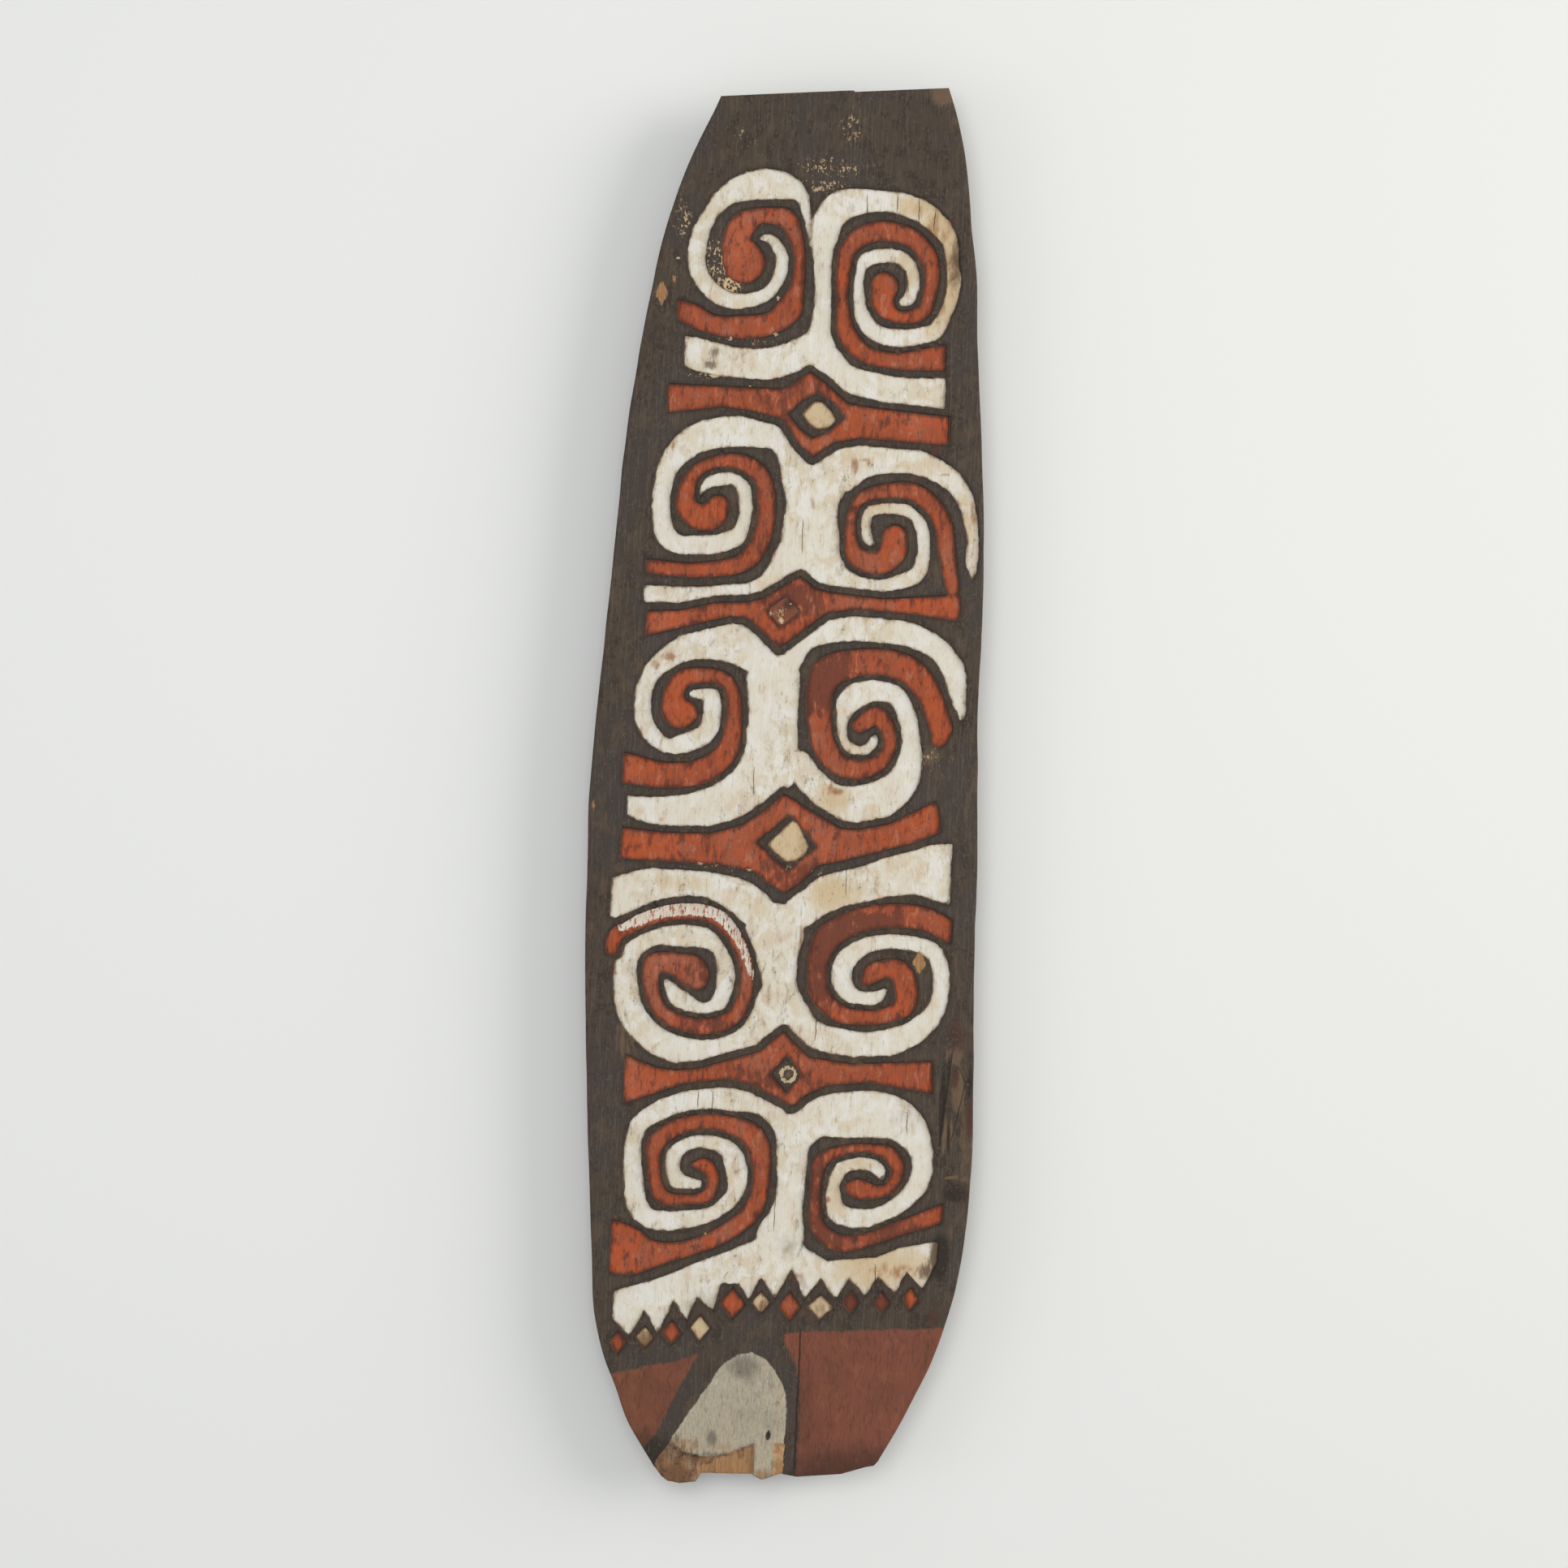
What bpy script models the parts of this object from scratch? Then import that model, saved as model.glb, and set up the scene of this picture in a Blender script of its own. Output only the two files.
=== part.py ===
"""A carved and painted wooden war shield, cut from one plank with its handle.

Metres, +Z up. The shield lies on its back: the painted face looks up (+Z), the top end
points to +Y, and the flat outer face of the handle rests on z = 0. The board's outline is
centred on the Z axis. Points of the drawing below are in millimetres on the painted face,
x to the right and y towards the top end.
"""

import bmesh
import bpy
import numpy as np
from mathutils import Vector
from mathutils.geometry import delaunay_2d_cdt

MM = 0.001

# ---- driving sizes, mm ----
HANDLE_HEIGHT = 54.0  # from the outer face of the handle to the back of the board
BOARD_EDGE = 13.0  # thickness of the board at its long edges
BOARD_CROWN = 5.0  # how much thicker the board is along its middle
RELIEF = 3.5  # depth of the painted fields below the black face
BREAK_DEPTH = 5.0  # depth of the split-away wood at the foot
LINE_WIDTH = 7.0  # least width of a black ridge between a red and a white field
MOAT_WIDTH = 9.5  # black border round each red cross-bar

HANDLE_LENGTH = 330.0
HANDLE_WIDTH = 48.0
HANDLE_FACE = 290.0  # length of its flat outer face
BAR_THICKNESS = 20.0
GAP_LENGTH = 140.0
GAP_HEIGHT = 30.0
GAP_RADIUS = 12.0
HANDLE_EMBED = 6.0  # how far the handle runs into the board before the union

GRID_STEP = 3.0  # spacing of the grid on which the carved outlines are found
OUTLINE_TOLERANCE = 1.1  # a carved outline may leave its smooth curve by this much
FACE_STEP = 70.0  # spacing of the extra points that carry the crown

# ---- the outline of the board: corners at both ends, hewn curves along the sides ----
TOP_END = [(-143, 848), (23, 863), (23, 861)]
RIGHT_SIDE = [
    (141, 872), (149, 850), (165, 790), (177, 705), (187, 635), (191, 570), (204, 420), (210, 340),
    (215, 190), (214, 140), (219, 0), (223, -90), (225, -200), (232, -380), (234, -450), (231, -540),
    (225, -600), (212, -660), (200, -700), (180, -748), (150, -810), (136, -836),
]
FOOT_END = [
    (130, -843), (120, -845), (90, -855), (35, -861), (14, -858), (-8, -867), (-22, -861), (-84, -863),
    (-90, -874), (-110, -877), (-125, -875), (-135, -868),
]
LEFT_SIDE = [
    (-143, -858), (-180, -800), (-198, -757), (-213, -722), (-226, -675), (-234, -590), (-250, -390),
    (-261, -200), (-263, -100), (-265, -40), (-261, 60), (-250, 250), (-246, 330), (-238, 450),
    (-232, 500), (-220, 590), (-207, 665), (-190, 730), (-168, 790), (-151, 828),
]

# ---- the scroll bands: (x, y, width) knots along the middle of each band ----
RED_BANDS = {
    "row 1 left": [
        (-179, 580, 24), (-164, 574, 27), (-140, 564, 23), (-105, 562, 28), (-62, 571, 28),
        (-46, 585, 31), (-39, 604, 21), (-43, 682, 18), (-52, 698, 24), (-72, 702, 20), (-92, 700, 20),
        (-106, 690, 31), (-114, 668, 35), (-104, 643, 52),
    ],
    "row 1 right": [
        (150, 536, 32), (80, 530, 19), (55, 535, 20), (27, 562, 22), (22, 588, 15), (21, 642, 17),
        (25, 666, 20), (38, 680, 23), (109, 679, 22), (124, 662, 21), (129, 615, 16), (121, 592, 17),
        (83, 587, 17), (71, 600, 27), (72, 622, 33),
    ],
    "row 2 left": [
        (-206, 260, 17), (-143, 258, 17.5), (-80, 275, 22), (-61, 345, 21.5), (-72, 381, 21),
        (-87, 392, 19.5), (-136, 390, 14), (-150, 381, 15), (-157, 333, 27), (-143, 324, 31),
        (-127, 328, 34), (-121, 338, 28),
    ],
    "row 2 right": [
        (175, 250, 16), (165, 297, 21), (158, 333, 21.5), (116, 369, 20.5), (97, 369, 18.5),
        (50, 350, 12), (45, 331, 11), (57, 282, 24), (91, 282, 30), (100, 297, 32), (100, 310, 31),
    ],
    "row 3 left": [
        (-223, 8, 38), (-163, 2, 30), (-123, 10, 30), (-94, 37, 25), (-90, 55, 21.5), (-105, 125, 16.5),
        (-137, 127, 19), (-153, 123, 22), (-165, 95, 27), (-156, 79, 36), (-150, 80, 31),
    ],
    "row 3 right": [
        (167, 62, 18), (169, 75, 27), (164, 91, 27.5), (128, 145, 33), (64, 153, 32.5), (23, 135, 38),
        (17, 115, 32), (18, 75, 29.5), (21, 57, 29), (44, 25, 25.5), (80, 22, 21), (105, 45, 16),
        (100, 77, 19), (90, 88, 22), (68, 75, 18),
    ],
    "row 4 left": [
        (-226, -217, 16), (-222, -199, 18), (-210, -192, 17), (-194, -182, 17.5), (-96, -173, 20),
        (-57, -241, 16.5), (-74, -297, 18.5), (-112, -308, 19), (-165, -287, 17.5), (-176, -253, 20),
        (-175, -236, 24), (-140, -234, 30), (-124, -241, 38), (-117, -250, 24),
    ],
    "row 4 right": [
        (195, -177, 27), (160, -161, 28), (140, -159, 29), (60, -176, 29.5), (43, -188, 32),
        (30, -225, 23.5), (35, -261, 23.5), (64, -285, 20.5), (84, -287, 18), (122, -282, 19),
        (138, -273, 24), (128, -226, 26), (112, -226, 22), (98, -233, 22), (92, -240, 14),
    ],
    "row 5 left": [
        (-208, -586, 64), (-190, -591, 60), (-170, -594, 41), (-150, -592, 29), (-53, -551, 22),
        (-37, -535, 22), (-27, -494, 20.5), (-44, -438, 28), (-63, -430, 22.5), (-145, -441, 19.5),
        (-160, -456, 21), (-162, -476, 16), (-143, -524, 17), (-125, -524, 12.5), (-91, -516, 14),
        (-89, -488, 15), (-97, -480, 17), (-112, -480, 6),
    ],
    "row 5 right": [
        (200, -526, 22), (147, -547, 17), (109, -562, 16), (73, -568, 21.5), (45, -547, 17),
        (42, -528, 14), (42, -488, 14), (45, -470, 16), (73, -453, 11), (113, -450, 11.5),
        (131, -455, 17), (141, -470, 16), (129, -500, 13), (115, -503, 16.5), (89, -499, 20),
        (84, -499, 13),
    ],
}
WHITE_BANDS = {
    "row 1 left": [
        (-22, 668, 3), (-45, 736, 23), (-60, 740, 33), (-136, 718, 22), (-148, 701, 18), (-158, 680, 21),
        (-158, 626, 21), (-124, 596, 20), (-70, 608, 15.5), (-58, 656, 15), (-75, 674, 10),
        (-86, 674, 2),
    ],
    "row 1 right": [
        (-5, 660, 30), (-3, 688, 32), (6, 712, 38), (57, 727, 26.5), (125, 710, 27), (152, 678, 19),
        (155, 656, 15), (158, 632, 17), (150, 592, 15), (135, 567, 20), (117, 562, 22), (62, 565, 20),
        (48, 580, 19), (42, 600, 14), (44, 650, 17), (97, 654, 17), (107, 642, 17), (109, 628, 16),
        (102, 606, 14), (88, 601, 3),
    ],
    "row 1 trunk": [
        (-6, 700, 30), (-4, 560, 30), (-5, 540, 40),
    ],
    "row 1 left arm": [
        (-171, 530, 36), (-150, 525, 40), (-105, 518, 37), (-60, 520, 39), (-28, 533, 38),
        (-10, 540, 44),
    ],
    "row 1 right arm": [
        (5, 525, 40), (25, 508, 34), (65, 497, 33), (135, 489, 42), (153, 490, 43),
    ],
    "row 2 left": [
        (-27, 379, 24), (-55, 427, 29), (-72, 432, 36), (-95, 433, 37.5), (-161, 415, 34),
        (-187, 379, 24), (-191, 359, 22), (-190, 319, 23), (-184, 300, 25), (-171, 290, 24),
        (-151, 289, 23), (-111, 295, 23), (-96, 302, 21), (-89, 317, 15.5), (-87, 349, 17),
        (-91, 365, 18.5), (-102, 374, 17), (-117, 373, 16), (-142, 362, 11), (-146, 347, 2),
    ],
    "row 2 right hook": [
        (31, 387, 46), (51, 402, 44), (99, 407, 33), (123, 405, 31), (177, 375, 23), (197, 315, 14),
        (198, 277, 11.5), (200, 265, 4),
    ],
    "row 2 right ring": [
        (21, 269, 32), (39, 255, 25), (80, 251, 19), (134, 273, 18), (137, 291, 16), (124, 340, 16),
        (64, 338, 14), (71, 302, 8), (77, 299, 3),
    ],
    "row 2 trunk": [
        (-3, 400, 88), (-3, 375, 78), (-4, 355, 66), (-5, 310, 70), (-4, 283, 78), (0, 262, 100),
    ],
    "row 2 left arm": [
        (-207, 226, 20), (-120, 230, 20), (-58, 244, 24), (-42, 260, 30), (-28, 285, 36),
    ],
    "row 3 left": [
        (-63, 155, 46), (-83, 167, 50), (-165, 154, 29), (-195, 125, 21.5), (-192, 54, 20.5),
        (-165, 38, 18), (-150, 42, 23), (-121, 58, 22.5), (-126, 108, 19), (-137, 106, 15),
        (-148, 102, 4),
    ],
    "row 3 right hook": [
        (-20, 150, 24), (-4, 177, 24), (15, 187, 28), (70, 196, 33), (169, 166, 27), (180, 150, 28),
        (190, 110, 16), (194, 97, 9), (194, 89, 4),
    ],
    "row 3 right ring": [
        (-4, 23, 34), (16, -1, 35), (38, -17, 37), (62, -24, 46), (125, 9, 38), (133, 51, 24.5),
        (106, 117, 24), (54, 105, 29.5), (46, 87, 19), (48, 53, 15.5), (74, 42, 15.5), (84, 47, 18),
        (88, 63, 6),
    ],
    "row 3 trunk": [
        (-42, 128, 66), (-40, 65, 62), (-42, 35, 70), (-32, 12, 50),
    ],
    "row 3 left arm": [
        (-215, -38, 24), (-180, -43, 34), (-105, -31, 50), (-65, 0, 64), (-50, 20, 68),
    ],
    "row 4 left": [
        (-34, -291, 34), (-52, -317, 29), (-94, -338, 30), (-160, -328, 38), (-197, -297, 33),
        (-203, -277, 34), (-201, -217, 26), (-172, -197, 25.5), (-152, -196, 27.5), (-91, -209, 23),
        (-83, -247, 22.5), (-94, -284, 22.5), (-110, -287, 17), (-140, -274, 24), (-159, -249, 3),
    ],
    "row 4 right": [
        (4, -283, 34), (20, -305, 33), (66, -319, 32), (114, -319, 33), (158, -298, 30), (174, -283, 24),
        (166, -197, 20), (150, -193, 18.5), (77, -205, 22), (64, -218, 26), (64, -253, 27),
        (78, -262, 20), (107, -260, 14), (114, -253, 8),
    ],
    "row 4 trunk": [
        (-25, -187, 74), (-22, -204, 58), (-18, -235, 45), (-16, -252, 42), (-15, -270, 52),
        (-16, -286, 70),
    ],
    "row 4 left arm": [
        (-228, -154, 48), (-185, -136, 42), (-105, -133, 33), (-60, -152, 46), (-40, -168, 42),
    ],
    "row 4 right arm": [
        (5, -160, 40), (30, -140, 44), (90, -119, 44), (150, -102, 60), (192, -104, 76),
    ],
    "row 5 left": [
        (3, -444, 22), (-9, -418, 24), (-25, -405, 22.5), (-67, -397, 27.5), (-151, -412, 25.5),
        (-184, -438, 21), (-187, -454, 21), (-183, -514, 25), (-179, -534, 26), (-168, -547, 24),
        (-129, -549, 25), (-59, -512, 20.5), (-59, -476, 28), (-68, -461, 22), (-119, -454, 15.5),
        (-134, -464, 18), (-135, -496, 21), (-109, -506, 16), (-101, -504, 10),
    ],
    "row 5 right": [
        (21, -436, 34), (33, -418, 44), (75, -409, 57), (145, -416, 49), (170, -450, 29),
        (169, -488, 25), (146, -517, 21), (115, -535, 23), (65, -524, 23), (64, -508, 18.5),
        (72, -476, 16), (102, -468, 16.5), (124, -482, 11), (126, -488, 4),
    ],
    "row 5 trunk": [
        (11, -430, 40), (4, -550, 48), (0, -565, 60),
    ],
}

# Bands that are cut off straight across: the lowest and highest x they reach.
RED_ENDS = {
    "row 1 left": (-183, 999), "row 1 right": (-999, 152), "row 2 left": (-207, 999),
    "row 3 left": (-223, 999), "row 4 right": (-999, 194), "row 5 left": (-210, 999),
    "row 5 right": (-999, 200),
}
WHITE_ENDS = {
    "row 1 left arm": (-172, 999), "row 1 right arm": (-999, 154), "row 2 left arm": (-208, 999),
    "row 3 left arm": (-216, 999), "row 4 left arm": (-230, 999), "row 4 right arm": (-999, 190),
}

# ---- the red cross-bars between the rows, with the black lozenge that stays at each middle ----
CROSS_BARS = [
    [
        (-190, 487), (-50, 487), (-35, 495), (-15, 510), (5, 497), (25, 480), (35, 473), (70, 469),
        (162, 463), (162, 428), (50, 432), (20, 425), (-8, 405), (-28, 425), (-42, 446), (-50, 452),
        (-90, 460), (-120, 463), (-190, 452),
    ],
    [
        (-203, 204), (-160, 207), (-120, 218), (-80, 221), (-60, 226), (-15, 256), (5, 241), (20, 238),
        (90, 233), (140, 238), (185, 243), (185, 210), (120, 217), (55, 220), (20, 213), (0, 197),
        (-20, 180), (-37, 167), (-60, 188), (-80, 203), (-100, 203), (-203, 174),
    ],
    [
        (-221, -66), (-170, -70), (-110, -68), (-70, -55), (-40, -32), (-22, -15), (5, -30), (35, -46),
        (50, -54), (70, -55), (110, -46), (168, -15), (175, -53), (140, -68), (60, -92), (25, -101),
        (5, -122), (-15, -137), (-35, -127), (-55, -112), (-90, -106), (-221, -104),
    ],
    [
        (-204, -347), (-190, -353), (-162, -362), (-140, -364), (-110, -360), (-35, -335), (-8, -310),
        (8, -325), (25, -340), (80, -346), (178, -338), (180, -377), (100, -367), (50, -373),
        (25, -385), (8, -401), (-15, -390), (-45, -377), (-75, -371), (-130, -380), (-202, -408),
    ],
]
LOZENGES = [
    [(-40, 457), (-24, 474), (-4, 485), (16, 474), (32, 456), (14, 439), (-7, 428), (-26, 440)],
    [(-55, 213), (-32, 232), (-12, 212), (-38, 190)],
    [(-55, -76), (-13, -40), (22, -78), (-12, -110)],
    [(-22, -362), (-2, -338), (18, -362), (-1, -386)],
]
LOZENGE_HEARTS = [
    [(-22, 458), (-8, 475), (3, 474), (14, 463), (21, 452), (12, 443), (-3, 440), (-14, 447)],
    [(-40, -78), (-25, -62), (-10, -46), (-3, -50), (13, -78), (8, -88), (-5, -98), (-15, -99), (-30, -88)],
]

# ---- the white ground above the teeth, the row of teeth and the small lozenges under them ----
WHITE_SHOULDER = [
    (-203, -675), (-203, -643), (-190, -637), (-150, -624), (-110, -605), (-35, -572), (-22, -560),
    (-15, -540), (10, -560), (35, -578), (60, -591), (120, -584), (150, -571), (196, -561),
    (196, -585), (190, -600),
]
TEETH = [
    (180, -621), (159, -599), (146, -628), (124, -606), (109, -633), (88, -610), (73, -639),
    (53, -613), (34, -640), (17, -601), (-3, -641), (-22, -613), (-35, -645), (-48, -625),
    (-72, -625), (-78, -660), (-100, -643), (-111, -675), (-128, -648), (-146, -690), (-164, -662),
    (-181, -696),
]
SMALL_LOZENGES = [  # x, y, half width, half height
    (-195, -705, 11, 14), (-162, -697, 11, 14), (-129, -690, 13, 15), (-94, -682, 13, 16),
    (-55, -650, 16, 19), (-20, -647, 12, 14), (16, -650, 14, 18), (54, -649, 16, 16),
    (92, -641, 10, 15), (130, -640, 10, 14), (166, -634, 10, 14),
]

# ---- the split-away wood at the foot, past the board's own edge so that it opens there ----
BREAK = [
    (-128, -832), (-80, -848), (-50, -838), (-24, -824), (-19, -822), (-19, -890), (-150, -890),
]
WOOD_COLOUR = (0.075, 0.059, 0.052, 1.0)
WOOD_ROUGHNESS = 0.85


def smooth_knots(knots, step):
    """Cubic through the knots, with tangents from their spacing, read about every step."""
    p = np.asarray(knots, float)
    gap = np.hypot(*np.diff(p[:, :2], axis=0).T)
    at = np.concatenate([[0.0], np.cumsum(gap)])
    slope = np.diff(p, axis=0) / gap[:, None]
    tangent = np.concatenate([slope[:1], slope[:1].repeat(len(p) - 2, axis=0), slope[-1:]])
    weight = (gap[:-1] + gap[1:])[:, None]
    tangent[1:-1] = (slope[:-1] * gap[1:, None] + slope[1:] * gap[:-1, None]) / weight
    u = np.linspace(0.0, at[-1], max(2, int(np.ceil(at[-1] / step)) + 1))
    k = np.clip(np.searchsorted(at, u, side="right") - 1, 0, len(gap) - 1)
    h = gap[k][:, None]
    s = ((u - at[k]) / gap[k])[:, None]
    here = (2 * s**3 - 3 * s**2 + 1) * p[k] + (s**3 - 2 * s**2 + s) * h * tangent[k]
    there = (3 * s**2 - 2 * s**3) * p[k + 1] + (s**3 - s**2) * h * tangent[k + 1]
    return here + there


def band_distance(knots, x, y):
    """Distance to a band: a chain of tapering round-ended strokes, negative inside."""
    path = smooth_knots(knots, 5.0)
    nearest = np.full(x.shape, 1e3)
    reach = 60.0
    for a, b in zip(path[:-1], path[1:]):
        close = (abs(y - a[1]) < reach) & (abs(x - a[0]) < reach)
        px, py = x[close] - a[0], y[close] - a[1]
        ex, ey = b[0] - a[0], b[1] - a[1]
        t = np.clip((px * ex + py * ey) / (ex * ex + ey * ey), 0.0, 1.0)
        half = 0.5 * (a[2] + (b[2] - a[2]) * t)
        nearest[close] = np.minimum(nearest[close], np.hypot(px - t * ex, py - t * ey) - half)
    return nearest


def shape_distance(corners, x, y):
    """Distance to a polygon's edge, negative inside."""
    nearest = np.full(x.shape, 1e3)
    inside = np.zeros(x.shape, bool)
    for (ax, ay), (bx, by) in zip(corners, corners[1:] + corners[:1]):
        ex, ey = bx - ax, by - ay
        t = np.clip(((x - ax) * ex + (y - ay) * ey) / (ex * ex + ey * ey), 0.0, 1.0)
        nearest = np.minimum(nearest, np.hypot(x - ax - t * ex, y - ay - t * ey))
        if ey:
            inside ^= ((ay > y) != (by > y)) & (x < ax + ex * (y - ay) / ey)
    return np.where(inside, -nearest, nearest)


def all_bands(bands, ends, x, y):
    """Distance to the nearest of some bands, each cut straight where it has an end."""
    nearest = np.full(x.shape, 1e3)
    for name, knots in bands.items():
        low, high = ends.get(name, (-999, 999))
        one = np.maximum(band_distance(knots, x, y), np.maximum(low - x, x - high))
        nearest = np.minimum(nearest, one)
    return nearest


def all_shapes(shapes, x, y):
    return np.min([shape_distance(corners, x, y) for corners in shapes], axis=0)


def carved_distance(x, y):
    """Distance to the sunk fields, negative inside them: bands, bars, teeth and lozenges."""
    bars = all_shapes(CROSS_BARS, x, y)
    red = all_bands(RED_BANDS, RED_ENDS, x, y)
    white = all_bands(WHITE_BANDS, WHITE_ENDS, x, y)
    white = np.minimum(white, shape_distance(WHITE_SHOULDER + TEETH, x, y))
    white = np.maximum(white, np.maximum(MOAT_WIDTH - bars, LINE_WIDTH - red))
    bars = np.maximum(bars, -all_shapes(LOZENGES, x, y))
    small = [[(a - w, b), (a, b + h), (a + w, b), (a, b - h)] for a, b, w, h in SMALL_LOZENGES]
    return np.min([red, white, bars, all_shapes(LOZENGE_HEARTS + small, x, y)], axis=0)


def simplified(loop, tolerance):
    """The closed loop with only the points that keep it within the tolerance."""
    far = int(np.argmax(np.hypot(*(loop - loop[0]).T)))
    keep = {0, far}
    todo = [(0, far), (far, len(loop))]
    closed = np.vstack([loop, loop[:1]])
    while todo:
        first, last = todo.pop()
        if last - first < 2:
            continue
        chord = closed[last] - closed[first]
        offset = closed[first + 1:last] - closed[first]
        length = max(np.hypot(*chord), 1e-9)
        apart = abs(offset[:, 0] * chord[1] - offset[:, 1] * chord[0]) / length
        worst = int(np.argmax(apart))
        if apart[worst] > tolerance:
            middle = first + 1 + worst
            keep.add(middle)
            todo += [(first, middle), (middle, last)]
    return loop[sorted(keep)]


def zero_loops(distance, xs, ys):
    """Closed loops where a distance on a grid changes sign, found cell by cell."""
    inside = distance < 0.0
    points = {}
    links = {}

    def crossing(row, column, down):
        """The point between a grid point and the next one, by linear interpolation."""
        key = (row, column, down)
        if key not in points:
            a = distance[row, column]
            b = distance[row + 1, column] if down else distance[row, column + 1]
            share = a / (a - b)
            x = xs[column] + (0.0 if down else share * (xs[column + 1] - xs[column]))
            y = ys[row] + (share * (ys[row + 1] - ys[row]) if down else 0.0)
            points[key] = (x, y)
        return key

    total = inside[:-1, :-1].astype(int) + inside[1:, :-1] + inside[:-1, 1:] + inside[1:, 1:]
    for row, column in np.argwhere((total > 0) & (total < 4)):
        corner = inside[row:row + 2, column:column + 2]
        low = crossing(row, column, False) if corner[0, 0] != corner[0, 1] else None
        high = crossing(row + 1, column, False) if corner[1, 0] != corner[1, 1] else None
        left = crossing(row, column, True) if corner[0, 0] != corner[1, 0] else None
        right = crossing(row, column + 1, True) if corner[0, 1] != corner[1, 1] else None
        found = [key for key in (low, right, high, left) if key]
        if len(found) == 4 and corner[0, 0]:
            found = [low, left, high, right]
        for a, b in zip(found[::2], found[1::2]):
            links.setdefault(a, []).append(b)
            links.setdefault(b, []).append(a)
    loops = []
    while links:
        start = next(iter(links))
        loop = [start]
        while True:
            ways = links[loop[-1]]
            following = ways.pop()
            links[following].remove(loop[-1])
            if following == start:
                break
            loop.append(following)
        for key in loop:
            links.pop(key, None)
        loops.append(np.array([points[key] for key in loop]))
    return loops


def board_outline():
    """The board's edge, anticlockwise from the top left: its long sides are smooth curves."""
    sides = [smooth_knots(side, 45.0) for side in (RIGHT_SIDE, LEFT_SIDE)]
    return np.vstack([TOP_END, sides[0], FOOT_END, sides[1]])[::-1]


def inside_loops(loops, x, y):
    """How many of the loops each point lies in."""
    return sum((shape_distance([tuple(p) for p in loop], x, y) < 0.0).astype(int) for loop in loops)


def area_centre(corners):
    """Middle of a polygon's area."""
    x, y = corners.T
    cross = x * np.roll(y, -1) - y * np.roll(x, -1)
    middle = [((side + np.roll(side, -1)) * cross).sum() / (3.0 * cross.sum()) for side in (x, y)]
    return np.array(middle)


def top_height(x, half_width):
    """Height of the black face: thickest along the middle, as a parabola across the board."""
    return HANDLE_HEIGHT + BOARD_EDGE + BOARD_CROWN * (1.0 - (x / half_width) ** 2)


def flat_regions(outline, carved, broken):
    """Triangles of the face seen from above, each with its depth below the black face."""
    low, high = outline.min(axis=0), outline.max(axis=0)
    grid = [
        (x, y)
        for x in np.arange(low[0] + FACE_STEP / 2, high[0], FACE_STEP)
        for y in np.arange(low[1] + FACE_STEP / 2, high[1], FACE_STEP)
    ]
    grid = np.array(grid)
    loops = [outline, *carved, *broken]
    clear = np.ones(len(grid), bool)
    for loop in loops:
        clear &= abs(shape_distance([tuple(p) for p in loop], *grid.T)) > FACE_STEP / 6
    points = [Vector(p) for p in grid[clear]]
    edges = []
    for loop in loops:
        first = len(points)
        points += [Vector(p) for p in loop]
        last = len(points)
        edges += list(zip(range(first, last), [*range(first + 1, last), first]))
    found, _, triangles, *_ = delaunay_2d_cdt(points, edges, [], 0, 1e-4, False)
    found = np.array(found)
    triangles = np.array(triangles)
    x, y = found[triangles].mean(axis=1).T
    in_board = inside_loops([outline], x, y) == 1
    sunk = inside_loops(carved, x, y) % 2 == 1
    split = inside_loops(broken, x, y) == 1
    depth = np.where(split, BREAK_DEPTH, np.where(sunk, RELIEF, 0.0))
    return found, triangles[in_board], depth[in_board]


def build_board(outline, centre):
    """One closed mesh: the carved face, its vertical steps, the edges and the flat back."""
    low, high = outline.min(axis=0), outline.max(axis=0)
    half_width = 0.5 * (high[0] - low[0])
    xs = np.arange(low[0] - GRID_STEP, high[0] + 2 * GRID_STEP, GRID_STEP)
    ys = np.arange(low[1] - GRID_STEP, high[1] + 2 * GRID_STEP, GRID_STEP)
    x, y = np.meshgrid(xs, ys)
    carved = [simplified(loop, OUTLINE_TOLERANCE) for loop in zero_loops(carved_distance(x, y), xs, ys)]
    broken = [np.array(BREAK, float)]
    points, triangles, depths = flat_regions(outline, carved, broken)

    mesh = bmesh.new()
    made = {}

    def vertex(index, depth):
        """The vertex of a drawing point at a depth; no depth means the back of the board."""
        key = (index, depth)
        if key not in made:
            px, py = points[index] - centre
            height = HANDLE_HEIGHT if depth is None else top_height(px, half_width) - depth
            made[key] = mesh.verts.new((px * MM, py * MM, height * MM))
        return made[key]

    depth_of = {}
    levels = {}
    for corners, depth in zip(triangles.tolist(), depths.tolist()):
        mesh.faces.new([vertex(index, depth) for index in corners])
        for a, b in zip(corners, corners[1:] + corners[:1]):
            depth_of[a, b] = depth
            levels.setdefault(a, set()).add(depth)
    rim = {}
    for (a, b), depth in depth_of.items():
        other = depth_of.get((b, a))
        if other is None:
            rim[a] = b
            steps_a = [vertex(a, d) for d in sorted(levels[a]) if d >= depth]
            steps_b = [vertex(b, d) for d in sorted(levels[b]) if d >= depth]
            mesh.faces.new([*steps_a, vertex(a, None), vertex(b, None), *steps_b[::-1]])
        elif other > depth:
            steps_a = [vertex(a, d) for d in sorted(levels[a]) if depth <= d <= other]
            steps_b = [vertex(b, d) for d in sorted(levels[b]) if depth <= d <= other]
            mesh.faces.new([*steps_a, *steps_b[::-1]])
    start = next(iter(rim))
    around = [start]
    while rim[around[-1]] != start:
        around.append(rim[around[-1]])
    mesh.faces.new([vertex(index, None) for index in around[::-1]])
    data = bpy.data.meshes.new("shield")
    mesh.to_mesh(data)
    mesh.free()
    return data


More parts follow.
